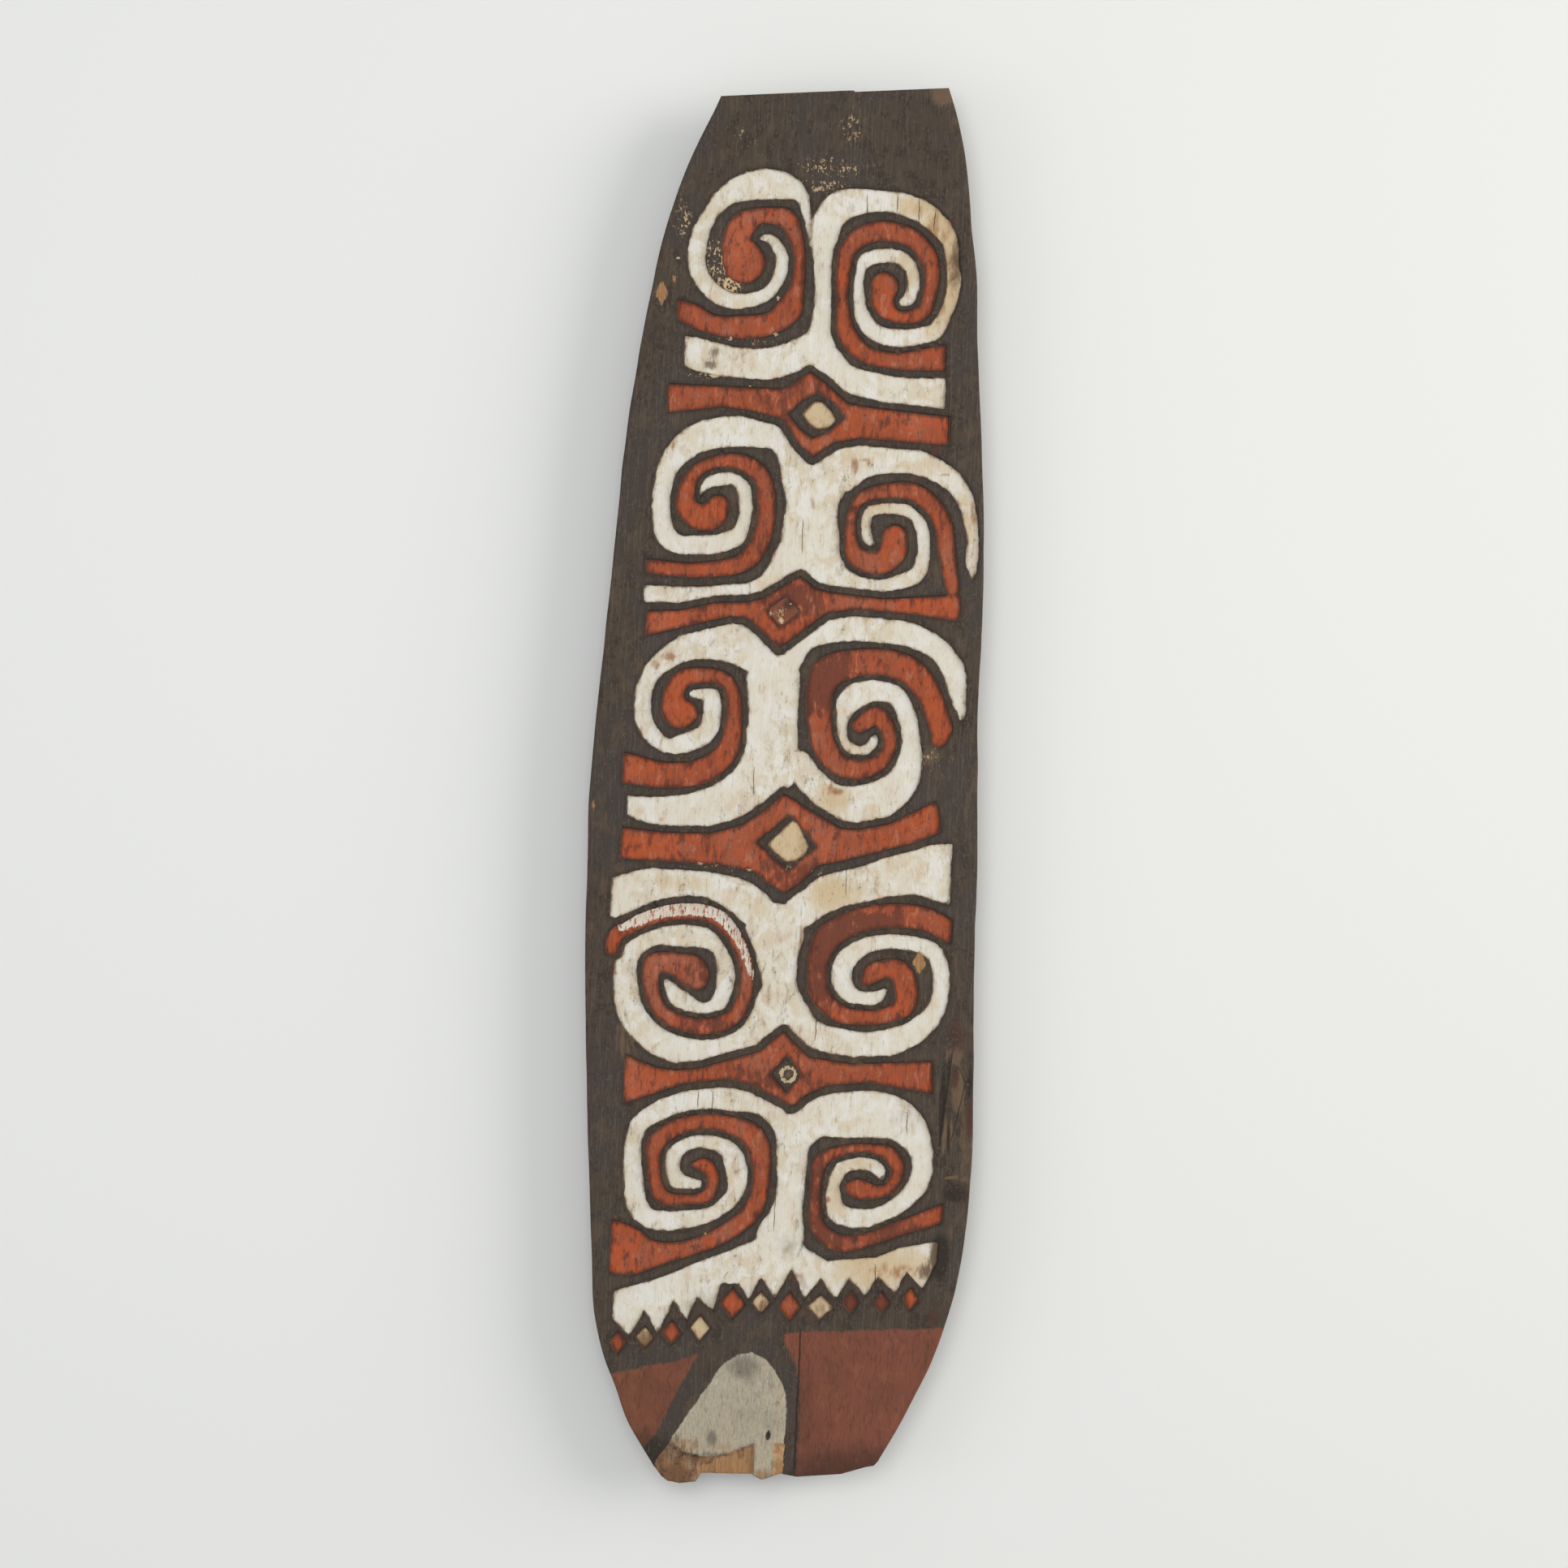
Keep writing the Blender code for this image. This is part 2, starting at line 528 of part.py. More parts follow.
def extruded_profile(name, profile, width):
    """A closed prism: a profile in the YZ plane carried along X, centred on x = 0."""
    mesh = bmesh.new()
    sides = []
    for x in (-width / 2, width / 2):
        sides.append([mesh.verts.new((x * MM, y * MM, z * MM)) for y, z in profile])
    mesh.faces.new(sides[0][::-1])
    mesh.faces.new(sides[1])
    count = len(profile)
    for i in range(count):
        j = (i + 1) % count
        mesh.faces.new([sides[0][i], sides[0][j], sides[1][j], sides[1][i]])
    bmesh.ops.recalc_face_normals(mesh, faces=mesh.faces)
    data = bpy.data.meshes.new(name)
    mesh.to_mesh(data)
    mesh.free()
    piece = bpy.data.objects.new(name, data)
    bpy.context.collection.objects.link(piece)
    piece.hide_render = True
    piece.display_type = "WIRE"
    return piece


def arc(centre_y, centre_z, radius, start, end, count):
    """Points of a circular arc, angles in degrees."""
    angles = np.radians(np.linspace(start, end, count))
    return [(centre_y + radius * np.cos(a), centre_z + radius * np.sin(a)) for a in angles]


def handle_blank(place):
    """The handle's solid block: a flat outer face, and feet that flare out into the board."""
    top = HANDLE_HEIGHT + HANDLE_EMBED
    face, end = HANDLE_FACE / 2, HANDLE_LENGTH / 2
    shoulder = 0.55 * HANDLE_HEIGHT
    side = [(face, 0.0), (0.5 * (face + end), 0.12 * HANDLE_HEIGHT), (end, shoulder), (end + 10.0, top)]
    profile = side + [(-y, z) for y, z in side[::-1]]
    blank = extruded_profile("handle_blank", profile, HANDLE_WIDTH)
    blank.location = place
    return blank


def finger_gap(place):
    """The cutter for the finger gap: a slot with round corners, right through in X."""
    y = GAP_LENGTH / 2 - GAP_RADIUS
    low, high = BAR_THICKNESS + GAP_RADIUS, BAR_THICKNESS + GAP_HEIGHT - GAP_RADIUS
    profile = []
    for sy, sz, start in ((y, low, -90), (y, high, 0), (-y, high, 90), (-y, low, 180)):
        profile += arc(sy, sz, GAP_RADIUS, start, start + 90, 4)
    gap = extruded_profile("finger_gap", profile, HANDLE_WIDTH + 40.0)
    gap.location = place
    return gap


def add_boolean(piece, other, operation):
    cut = piece.modifiers.new(other.name, "BOOLEAN")
    cut.operation = operation
    cut.object = other
    cut.solver = "EXACT"


def painted_wood():
    """Soot-black paint on carved mangrove wood."""
    material = bpy.data.materials.new("painted_wood")
    material.use_nodes = True
    shader = material.node_tree.nodes["Principled BSDF"]
    shader.inputs["Base Color"].default_value = WOOD_COLOUR
    shader.inputs["Roughness"].default_value = WOOD_ROUGHNESS
    shader.inputs["Metallic"].default_value = 0.0
    return material


def main():
    for old in list(bpy.data.objects):
        bpy.data.objects.remove(old)
    outline = board_outline()
    centre = 0.5 * (outline.min(axis=0) + outline.max(axis=0))
    shield = bpy.data.objects.new("shield", build_board(outline, centre))
    bpy.context.collection.objects.link(shield)
    shield.data.materials.append(painted_wood())

    balance = area_centre(outline) - centre  # the handle sits under the board's middle of area
    place = (round(balance[0]) * MM, round(balance[1]) * MM, 0.0)
    blank = handle_blank(place)
    add_boolean(blank, finger_gap(place), "DIFFERENCE")
    add_boolean(shield, blank, "UNION")
    size = outline.max(axis=0) - outline.min(axis=0)
    print(f"board {size[0]:.1f} x {size[1]:.1f} mm, handle at {place[0]:.3f}, {place[1]:.3f} m")


main()
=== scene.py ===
import math

import bpy
import numpy as np
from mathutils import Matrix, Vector


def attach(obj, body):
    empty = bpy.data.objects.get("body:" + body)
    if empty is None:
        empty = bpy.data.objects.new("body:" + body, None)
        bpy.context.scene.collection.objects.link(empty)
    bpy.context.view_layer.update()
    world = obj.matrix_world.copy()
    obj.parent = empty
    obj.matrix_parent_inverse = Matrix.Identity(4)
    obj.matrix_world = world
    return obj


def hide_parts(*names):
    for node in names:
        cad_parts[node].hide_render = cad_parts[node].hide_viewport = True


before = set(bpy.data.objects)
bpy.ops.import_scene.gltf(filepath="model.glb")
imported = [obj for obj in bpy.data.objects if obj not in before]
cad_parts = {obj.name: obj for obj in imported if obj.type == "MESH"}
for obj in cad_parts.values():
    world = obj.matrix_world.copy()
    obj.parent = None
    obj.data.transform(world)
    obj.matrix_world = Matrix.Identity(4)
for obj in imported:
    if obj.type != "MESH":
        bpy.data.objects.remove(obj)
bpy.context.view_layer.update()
print("frame loaded")

mm = 0.001
farOff = 24.0  # distances in the drawing are only kept up to about this, mm
leastLength = 1e-6  # keeps a division by a length off zero, mm

# What a user would change about the shield; lengths in mm.
shieldSettings = {
    "columns": 148,  # cells across the painted face, even
    "rows": 448,  # cells along it, even
    "closeColumns": [0.0, 0.0028, 0.0065, 0.0125],  # first lines in from each side, as shares
    "closeRows": [0.0, 0.0009, 0.0022, 0.0042],  # first lines in from each end, as shares
    "handleHeight": 54.0,  # outer face of the handle to the back of the board
    "boardEdge": 13.0,  # thickness at the long edges
    "boardCrown": 5.0,  # how much thicker along the middle
    "edgeRound": 3.0,  # worn rounding of the front edge
    "relief": 3.5,  # depth of the painted fields
    "wallWidth": 1.8,  # sloping wall between a field and a black ridge
    "snapPasses": 4,  # steps in which a grid point moves onto the wall
    "snapReach": 2.6,  # farthest that it moves
    "leastSlope": 0.4,  # least squared slope of the distance that a step trusts
    "ridge": 7.0,  # least width of a black ridge between red and white
    "moat": 9.5,  # black border round each red cross-bar
    "breakDepth": 5.0,  # wood split away at the foot
    "breakSlope": 3.0,  # breadth of the slope into the break
    "fibreDepth": 0.9,  # torn fibres in the break
    "splinterShare": 0.6,  # and how much of a coarser noise goes with them
    "knifeMark": 0.35,  # ripple left by the knife in the fields
    "knifeDrift": 6.0,  # how far the knife cuts stray from straight rows
    "planeMark": 0.3,  # depth of the broad flat cuts on the black
    "edgeRings": ((0.42, 0.4), (0.84, 0.9)),  # share of the way down the edge, and drawn in by
    "edgeRough": 0.35,  # unevenness of the edge
    "edgeSkew": (3, 9),  # how far its noise is read askew, by x and by ring
    "hewnWave": 0.5,  # unevenness of the long sides
    "faceInset": 0.4,  # the face's rim inside the drawn outline
    "backInset": 1.6,  # the back's rim inside it
    "backRim": 1.2,  # the back's rim above its level
    "adzeDepth": 1.1,  # depth of an adze cut on the back
    "adzeDrift": 5.0,  # how far the adze cuts stray from straight rows
    "adzeClear": 8.0,  # breadth over which they run out at the edge
    "backGrain": 0.25,  # height of the grain on the back
    "sharpAngle": 44,  # edges turned more than this look sharp, degrees
    "drawingStep": 1.5,  # spacing of the drawing's own grid of distances
    "drawingMargin": 12,  # how far that grid goes beyond the outline
    "strokeStep": 4.0,  # length of the pieces that a band is measured by
    "outlineStep": 12.0,  # and the sides of the outline
    "sideStep": 8.0,  # and the sides of the mesh
}
# Unevenness and tool marks by name: size across and size along, mm, and seed.
markSizes = {
    "leftSide": (38.0, 97.0, 11), "rightSide": (33.0, 89.0, 12), "edge": (9.0, 3.0, 21),
    "knifeDrift": (60, 60, 3), "knife": (9.0, 21.0, 4), "plane": (26.0, 60.0, 5),
    "fibre": (3.4, 26.0, 6), "splinter": (7.0, 12.0, 7), "adzeDrift": (70, 70, 8),
    "adze": (34.0, 64.6, 9), "backGrain": (5.0, 30.0, 10), "handle": (2.0, 3.0, 14),
}
# The handle: its sections from the middle of a foot to the middle of the grip, as the outer
# and the inner edge of the wood (y outer, z outer, y inner, z inner) from the handle's middle.
handleSettings = {
    "pad": 4.0,  # the raised ground that the handle grows from
    "padReach": (34.0, 184.0),  # where the pad ends, from the handle's middle
    "padSlope": 9.0,  # breadth of the slope at its edge
    "width": 48.0,  # across the board at its feet
    "gripWidth": 43.0,  # at the middle of the grip
    "corner": 7.0,  # rounding of the handle's long edges
    "cornerStart": 3,  # steps over which the rounding starts at each foot
    "rough": 0.3,  # unevenness of its sides
    "skew": (4, 9, 0.7),  # how far its noise is read askew, round the handle and from ring to ring
    "sections": [
        (171, 50, 70, 50), (166, 36, 70, 44), (162, 22, 70, 36), (157, 9, 68, 28), (148, 1.5, 63, 22),
        (122, 0, 55, 20), (84, 0, 44, 20), (48, 0, 28, 20), (14, 0, 12, 20), (0, 0, 0, 20),
    ],
    "steps": 34,  # rings of points from a foot to the middle of the grip
}
# Hair cracks, mm.
crackSettings = {
    "wander": 0.7,  # how far a crack strays from straight
    "wanderSize": (7.0, 31.0),  # of the noise that it strays by
    "reach": 8.0,  # a crack is told apart from the ground within this distance
    "fade": 3.0,  # the last part of that reach
    "taper": 8.0,  # length over which an end closes
    "farSide": 9.0,  # most widths from a crack that are told apart
}
paintColours = {
    "soot": "#473d33", "sootDeep": "#2f2823", "sootPale": "#595047", "sootCool": "#423a36",
    "sootWorn": "#6b5744", "lime": "#d8d3c5", "limePale": "#e0ded9", "limeCream": "#c9b491",
    "limePink": "#cdb09a", "limeGrey": "#a39a88", "limeShade": "#a0917a", "limeBrown": "#8a7358",
    "ochre": "#984c31", "ochreBright": "#ac512d", "ochrePale": "#ad684e", "ochreDeep": "#6f3d2e",
    "ochreShade": "#552c22", "rust": "#9a6a45", "earth": "#784738", "earthDark": "#4c3127",
    "earthLight": "#87543e", "earthShade": "#65412f", "dome": "#ada38e", "domeGrey": "#978e7d",
    "domeDark": "#6f685d",
    "bareWood": "#a07b56", "freshWood": "#a27b53", "bareWoodDark": "#6f4f38", "bareWoodPale": "#ccb088",
    "agedWood": "#6a4c36", "agedWoodDark": "#3f2c20", "agedWoodPale": "#8d6b4c",
}

# The board's outline, mm: corners at both ends, hewn curves along the sides.
topEnd = [(-143, 848), (23, 863), (23, 861)]
rightSide = [
    (141, 872), (149, 850), (165, 790), (177, 705), (187, 635), (191, 570), (204, 420), (210, 340),
    (215, 190), (214, 140), (219, 0), (223, -90), (225, -200), (232, -380), (234, -450), (231, -540),
    (225, -600), (212, -660), (200, -700), (180, -748), (150, -810), (136, -836),
]
footEnd = [
    (130, -843), (120, -845), (90, -855), (35, -861), (14, -858), (-8, -867), (-22, -861), (-84, -863),
    (-90, -874), (-110, -877), (-125, -875), (-135, -868),
]
leftSide = [
    (-143, -858), (-180, -800), (-198, -757), (-213, -722), (-226, -675), (-234, -590), (-250, -390),
    (-261, -200), (-263, -100), (-265, -40), (-261, 60), (-250, 250), (-246, 330), (-238, 450),
    (-232, 500), (-220, 590), (-207, 665), (-190, 730), (-168, 790), (-151, 828),
]

# Scroll bands: knots (x, y, width) along the middle of each band, mm.
redBands = {
    "row 1 left": [
        (-179, 580, 24), (-164, 574, 27), (-140, 564, 23), (-105, 562, 28), (-62, 571, 28),
        (-46, 585, 31), (-39, 604, 21), (-43, 682, 18), (-52, 698, 24), (-72, 702, 20), (-92, 700, 20),
        (-106, 690, 31), (-114, 668, 35), (-104, 643, 52),
    ],
    "row 1 right": [
        (150, 536, 32), (80, 530, 19), (55, 535, 20), (27, 562, 22), (22, 588, 15), (21, 642, 17),
        (25, 666, 20), (38, 680, 23), (109, 679, 22), (124, 662, 21), (129, 615, 16), (121, 592, 17),
        (83, 587, 17), (71, 600, 27), (72, 622, 33),
    ],
    "row 2 left": [
        (-206, 260, 17), (-143, 258, 17.5), (-80, 275, 22), (-61, 345, 21.5), (-72, 381, 21),
        (-87, 392, 19.5), (-136, 390, 14), (-150, 381, 15), (-157, 333, 27), (-143, 324, 31),
        (-127, 328, 34), (-121, 338, 28),
    ],
    "row 2 right": [
        (175, 250, 16), (165, 297, 21), (158, 333, 21.5), (116, 369, 20.5), (97, 369, 18.5),
        (50, 350, 12), (45, 331, 11), (57, 282, 24), (91, 282, 30), (100, 297, 32), (100, 310, 31),
    ],
    "row 3 left": [
        (-223, 8, 38), (-163, 2, 30), (-123, 10, 30), (-94, 37, 25), (-90, 55, 21.5), (-105, 125, 16.5),
        (-137, 127, 19), (-153, 123, 22), (-165, 95, 27), (-156, 79, 36), (-150, 80, 31),
    ],
    "row 3 right": [
        (167, 62, 18), (169, 75, 27), (164, 91, 27.5), (128, 145, 33), (64, 153, 32.5), (23, 135, 38),
        (17, 115, 32), (18, 75, 29.5), (21, 57, 29), (44, 25, 25.5), (80, 22, 21), (105, 45, 16),
        (100, 77, 19), (90, 88, 22), (68, 75, 18),
    ],
    "row 4 left": [
        (-226, -217, 16), (-222, -199, 18), (-210, -192, 17), (-194, -182, 17.5), (-96, -173, 20),
        (-57, -241, 16.5), (-74, -297, 18.5), (-112, -308, 19), (-165, -287, 17.5), (-176, -253, 20),
        (-175, -236, 24), (-140, -234, 30), (-124, -241, 38), (-117, -250, 24),
    ],
    "row 4 right": [
        (195, -177, 27), (160, -161, 28), (140, -159, 29), (60, -176, 29.5), (43, -188, 32),
        (30, -225, 23.5), (35, -261, 23.5), (64, -285, 20.5), (84, -287, 18), (122, -282, 19),
        (138, -273, 24), (128, -226, 26), (112, -226, 22), (98, -233, 22), (92, -240, 14),
    ],
    "row 5 left": [
        (-208, -586, 64), (-190, -591, 60), (-170, -594, 41), (-150, -592, 29), (-53, -551, 22),
        (-37, -535, 22), (-27, -494, 20.5), (-44, -438, 28), (-63, -430, 22.5), (-145, -441, 19.5),
        (-160, -456, 21), (-162, -476, 16), (-143, -524, 17), (-125, -524, 12.5), (-91, -516, 14),
        (-89, -488, 15), (-97, -480, 17), (-112, -480, 6),
    ],
    "row 5 right": [
        (200, -526, 22), (147, -547, 17), (109, -562, 16), (73, -568, 21.5), (45, -547, 17),
        (42, -528, 14), (42, -488, 14), (45, -470, 16), (73, -453, 11), (113, -450, 11.5),
        (131, -455, 17), (141, -470, 16), (129, -500, 13), (115, -503, 16.5), (89, -499, 20),
        (84, -499, 13),
    ],
}
whiteBands = {
    "row 1 left": [
        (-22, 668, 3), (-45, 736, 23), (-60, 740, 33), (-136, 718, 22), (-148, 701, 18), (-158, 680, 21),
        (-158, 626, 21), (-124, 596, 20), (-70, 608, 15.5), (-58, 656, 15), (-75, 674, 10),
        (-86, 674, 2),
    ],
    "row 1 right": [
        (-5, 660, 30), (-3, 688, 32), (6, 712, 38), (57, 727, 26.5), (125, 710, 27), (152, 678, 19),
        (155, 656, 15), (158, 632, 17), (150, 592, 15), (135, 567, 20), (117, 562, 22), (62, 565, 20),
        (48, 580, 19), (42, 600, 14), (44, 650, 17), (97, 654, 17), (107, 642, 17), (109, 628, 16),
        (102, 606, 14), (88, 601, 3),
    ],
    "row 1 trunk": [
        (-6, 700, 30), (-4, 560, 30), (-5, 540, 40),
    ],
    "row 1 left arm": [
        (-171, 530, 36), (-150, 525, 40), (-105, 518, 37), (-60, 520, 39), (-28, 533, 38),
        (-10, 540, 44),
    ],
    "row 1 right arm": [
        (5, 525, 40), (25, 508, 34), (65, 497, 33), (135, 489, 42), (153, 490, 43),
    ],
    "row 2 left": [
        (-27, 379, 24), (-55, 427, 29), (-72, 432, 36), (-95, 433, 37.5), (-161, 415, 34),
        (-187, 379, 24), (-191, 359, 22), (-190, 319, 23), (-184, 300, 25), (-171, 290, 24),
        (-151, 289, 23), (-111, 295, 23), (-96, 302, 21), (-89, 317, 15.5), (-87, 349, 17),
        (-91, 365, 18.5), (-102, 374, 17), (-117, 373, 16), (-142, 362, 11), (-146, 347, 2),
    ],
    "row 2 right hook": [
        (31, 387, 46), (51, 402, 44), (99, 407, 33), (123, 405, 31), (177, 375, 23), (197, 315, 14),
        (198, 277, 11.5), (200, 265, 4),
    ],
    "row 2 right ring": [
        (21, 269, 32), (39, 255, 25), (80, 251, 19), (134, 273, 18), (137, 291, 16), (124, 340, 16),
        (64, 338, 14), (71, 302, 8), (77, 299, 3),
    ],
    "row 2 trunk": [
        (-3, 400, 88), (-3, 375, 78), (-4, 355, 66), (-5, 310, 70), (-4, 283, 78), (0, 262, 100),
    ],
    "row 2 left arm": [
        (-207, 226, 20), (-120, 230, 20), (-58, 244, 24), (-42, 260, 30), (-28, 285, 36),
    ],
    "row 3 left": [
        (-63, 155, 46), (-83, 167, 50), (-165, 154, 29), (-195, 125, 21.5), (-192, 54, 20.5),
        (-165, 38, 18), (-150, 42, 23), (-121, 58, 22.5), (-126, 108, 19), (-137, 106, 15),
        (-148, 102, 4),
    ],
    "row 3 right hook": [
        (-20, 150, 24), (-4, 177, 24), (15, 187, 28), (70, 196, 33), (169, 166, 27), (180, 150, 28),
        (190, 110, 16), (194, 97, 9), (194, 89, 4),
    ],
    "row 3 right ring": [
        (-4, 23, 34), (16, -1, 35), (38, -17, 37), (62, -24, 46), (125, 9, 38), (133, 51, 24.5),
        (106, 117, 24), (54, 105, 29.5), (46, 87, 19), (48, 53, 15.5), (74, 42, 15.5), (84, 47, 18),
        (88, 63, 6),
    ],
    "row 3 trunk": [
        (-42, 128, 66), (-40, 65, 62), (-42, 35, 70), (-32, 12, 50),
    ],
    "row 3 left arm": [
        (-215, -38, 24), (-180, -43, 34), (-105, -31, 50), (-65, 0, 64), (-50, 20, 68),
    ],
    "row 4 left": [
        (-34, -291, 34), (-52, -317, 29), (-94, -338, 30), (-160, -328, 38), (-197, -297, 33),
        (-203, -277, 34), (-201, -217, 26), (-172, -197, 25.5), (-152, -196, 27.5), (-91, -209, 23),
        (-83, -247, 22.5), (-94, -284, 22.5), (-110, -287, 17), (-140, -274, 24), (-159, -249, 3),
    ],
    "row 4 right": [
        (4, -283, 34), (20, -305, 33), (66, -319, 32), (114, -319, 33), (158, -298, 30), (174, -283, 24),
        (166, -197, 20), (150, -193, 18.5), (77, -205, 22), (64, -218, 26), (64, -253, 27),
        (78, -262, 20), (107, -260, 14), (114, -253, 8),
    ],
    "row 4 trunk": [
        (-25, -187, 74), (-22, -204, 58), (-18, -235, 45), (-16, -252, 42), (-15, -270, 52),
        (-16, -286, 70),
    ],
    "row 4 left arm": [
        (-228, -154, 48), (-185, -136, 42), (-105, -133, 33), (-60, -152, 46), (-40, -168, 42),
    ],
    "row 4 right arm": [
        (5, -160, 40), (30, -140, 44), (90, -119, 44), (150, -102, 60), (192, -104, 76),
    ],
    "row 5 left": [
        (3, -444, 22), (-9, -418, 24), (-25, -405, 22.5), (-67, -397, 27.5), (-151, -412, 25.5),
        (-184, -438, 21), (-187, -454, 21), (-183, -514, 25), (-179, -534, 26), (-168, -547, 24),
        (-129, -549, 25), (-59, -512, 20.5), (-59, -476, 28), (-68, -461, 22), (-119, -454, 15.5),
        (-134, -464, 18), (-135, -496, 21), (-109, -506, 16), (-101, -504, 10),
    ],
    "row 5 right": [
        (21, -436, 34), (33, -418, 44), (75, -409, 57), (145, -416, 49), (170, -450, 29),
        (169, -488, 25), (146, -517, 21), (115, -535, 23), (65, -524, 23), (64, -508, 18.5),
        (72, -476, 16), (102, -468, 16.5), (124, -482, 11), (126, -488, 4),
    ],
    "row 5 trunk": [
        (11, -430, 40), (4, -550, 48), (0, -565, 60),
    ],
}
# Bands cut off straight across: the farthest x that they reach, left below 0 and right above.
redEnds = {
    "row 1 left": -183, "row 1 right": 152, "row 2 left": -207, "row 3 left": -223,
    "row 4 right": 194, "row 5 left": -210, "row 5 right": 200,
}
whiteEnds = {
    "row 1 left arm": -172, "row 1 right arm": 154, "row 2 left arm": -208, "row 3 left arm": -216,
    "row 4 left arm": -230, "row 4 right arm": 190,
}

# Red bars between the rows, each with a black lozenge left standing at its middle.
crossBars = [
    [
        (-190, 487), (-50, 487), (-35, 495), (-15, 510), (5, 497), (25, 480), (35, 473), (70, 469),
        (162, 463), (162, 428), (50, 432), (20, 425), (-8, 405), (-28, 425), (-42, 446), (-50, 452),
        (-90, 460), (-120, 463), (-190, 452),
    ],
    [
        (-203, 204), (-160, 207), (-120, 218), (-80, 221), (-60, 226), (-15, 256), (5, 241), (20, 238),
        (90, 233), (140, 238), (185, 243), (185, 210), (120, 217), (55, 220), (20, 213), (0, 197),
        (-20, 180), (-37, 167), (-60, 188), (-80, 203), (-100, 203), (-203, 174),
    ],
    [
        (-221, -66), (-170, -70), (-110, -68), (-70, -55), (-40, -32), (-22, -15), (5, -30), (35, -46),
        (50, -54), (70, -55), (110, -46), (168, -15), (175, -53), (140, -68), (60, -92), (25, -101),
        (5, -122), (-15, -137), (-35, -127), (-55, -112), (-90, -106), (-221, -104),
    ],
    [
        (-204, -347), (-190, -353), (-162, -362), (-140, -364), (-110, -360), (-35, -335), (-8, -310),
        (8, -325), (25, -340), (80, -346), (178, -338), (180, -377), (100, -367), (50, -373),
        (25, -385), (8, -401), (-15, -390), (-45, -377), (-75, -371), (-130, -380), (-202, -408),
    ],
]
lozenges = [
    [(-40, 457), (-24, 474), (-4, 485), (16, 474), (32, 456), (14, 439), (-7, 428), (-26, 440)],
    [(-55, 213), (-32, 232), (-12, 212), (-38, 190)],
    [(-55, -76), (-13, -40), (22, -78), (-12, -110)],
    [(-22, -362), (-2, -338), (18, -362), (-1, -386)],
]
lozengeHearts = [
    [(-22, 458), (-8, 475), (3, 474), (14, 463), (21, 452), (12, 443), (-3, 440), (-14, 447)],
    [(-40, -78), (-25, -62), (-10, -46), (-3, -50), (13, -78), (8, -88), (-5, -98), (-15, -99), (-30, -88)],
]

# White ground over the teeth, the teeth from right to left, and the lozenges under them.
whiteShoulder = [
    (-203, -675), (-203, -643), (-190, -637), (-150, -624), (-110, -605), (-35, -572), (-22, -560),
    (-15, -540), (10, -560), (35, -578), (60, -591), (120, -584), (150, -571), (196, -561),
    (196, -585), (190, -600),
]
teeth = [
    (180, -621), (159, -599), (146, -628), (124, -606), (109, -633), (88, -610), (73, -639),
    (53, -613), (34, -640), (17, -601), (-3, -641), (-22, -613), (-35, -645), (-48, -625),
    (-72, -625), (-78, -660), (-100, -643), (-111, -675), (-128, -648), (-146, -690), (-164, -662),
    (-181, -696),
]
# x, y, half width, half height
redLozenges = [
    (-195, -705, 11, 14), (-129, -690, 13, 15), (-55, -650, 16, 19), (16, -650, 14, 18),
    (92, -641, 10, 15), (130, -640, 10, 14), (166, -634, 10, 14),
]
tanLozenges = [
    (-162, -697, 11, 14), (-94, -682, 13, 16), (-20, -647, 12, 14), (54, -649, 16, 16),
]

# Plain painted ground at the foot, flush with the black.
groundShapes = [
    [
        (8, -684), (50, -679), (100, -676), (230, -666), (260, -700), (260, -900), (34, -900),
        (34, -760), (28, -725), (15, -700),
    ],
    [
        (-260, -757), (-200, -745), (-160, -733), (-120, -724), (-95, -715), (-110, -745),
        (-120, -765), (-135, -800), (-150, -825), (-175, -860), (-260, -860),
    ],
    [(-55, 213), (-32, 231), (-13, 212), (-37, 191)],  # heart of the second black lozenge
]
domeShape = [
    (-28, -709), (-45, -713), (-58, -721), (-68, -732), (-85, -760), (-108, -795), (-128, -830),
    (-142, -856), (-138, -890), (17, -890), (17, -820), (18, -800), (18, -770), (14, -752),
    (8, -740), (0, -728), (-10, -717),
]
breakShape = [
    (-124, -828), (-104, -838), (-84, -842), (-66, -840), (-50, -836), (-36, -828), (-20, -822),
    (-19, -890), (-150, -890), (-140, -848),
]
bareStrips = [  # raw wood shown by lost paint
    [(5, -820), (17, -820), (17, -890), (5, -890)],
    [(-86, -853), (-66, -848), (-48, -845), (-19, -847), (-19, -890), (-86, -890)],
]

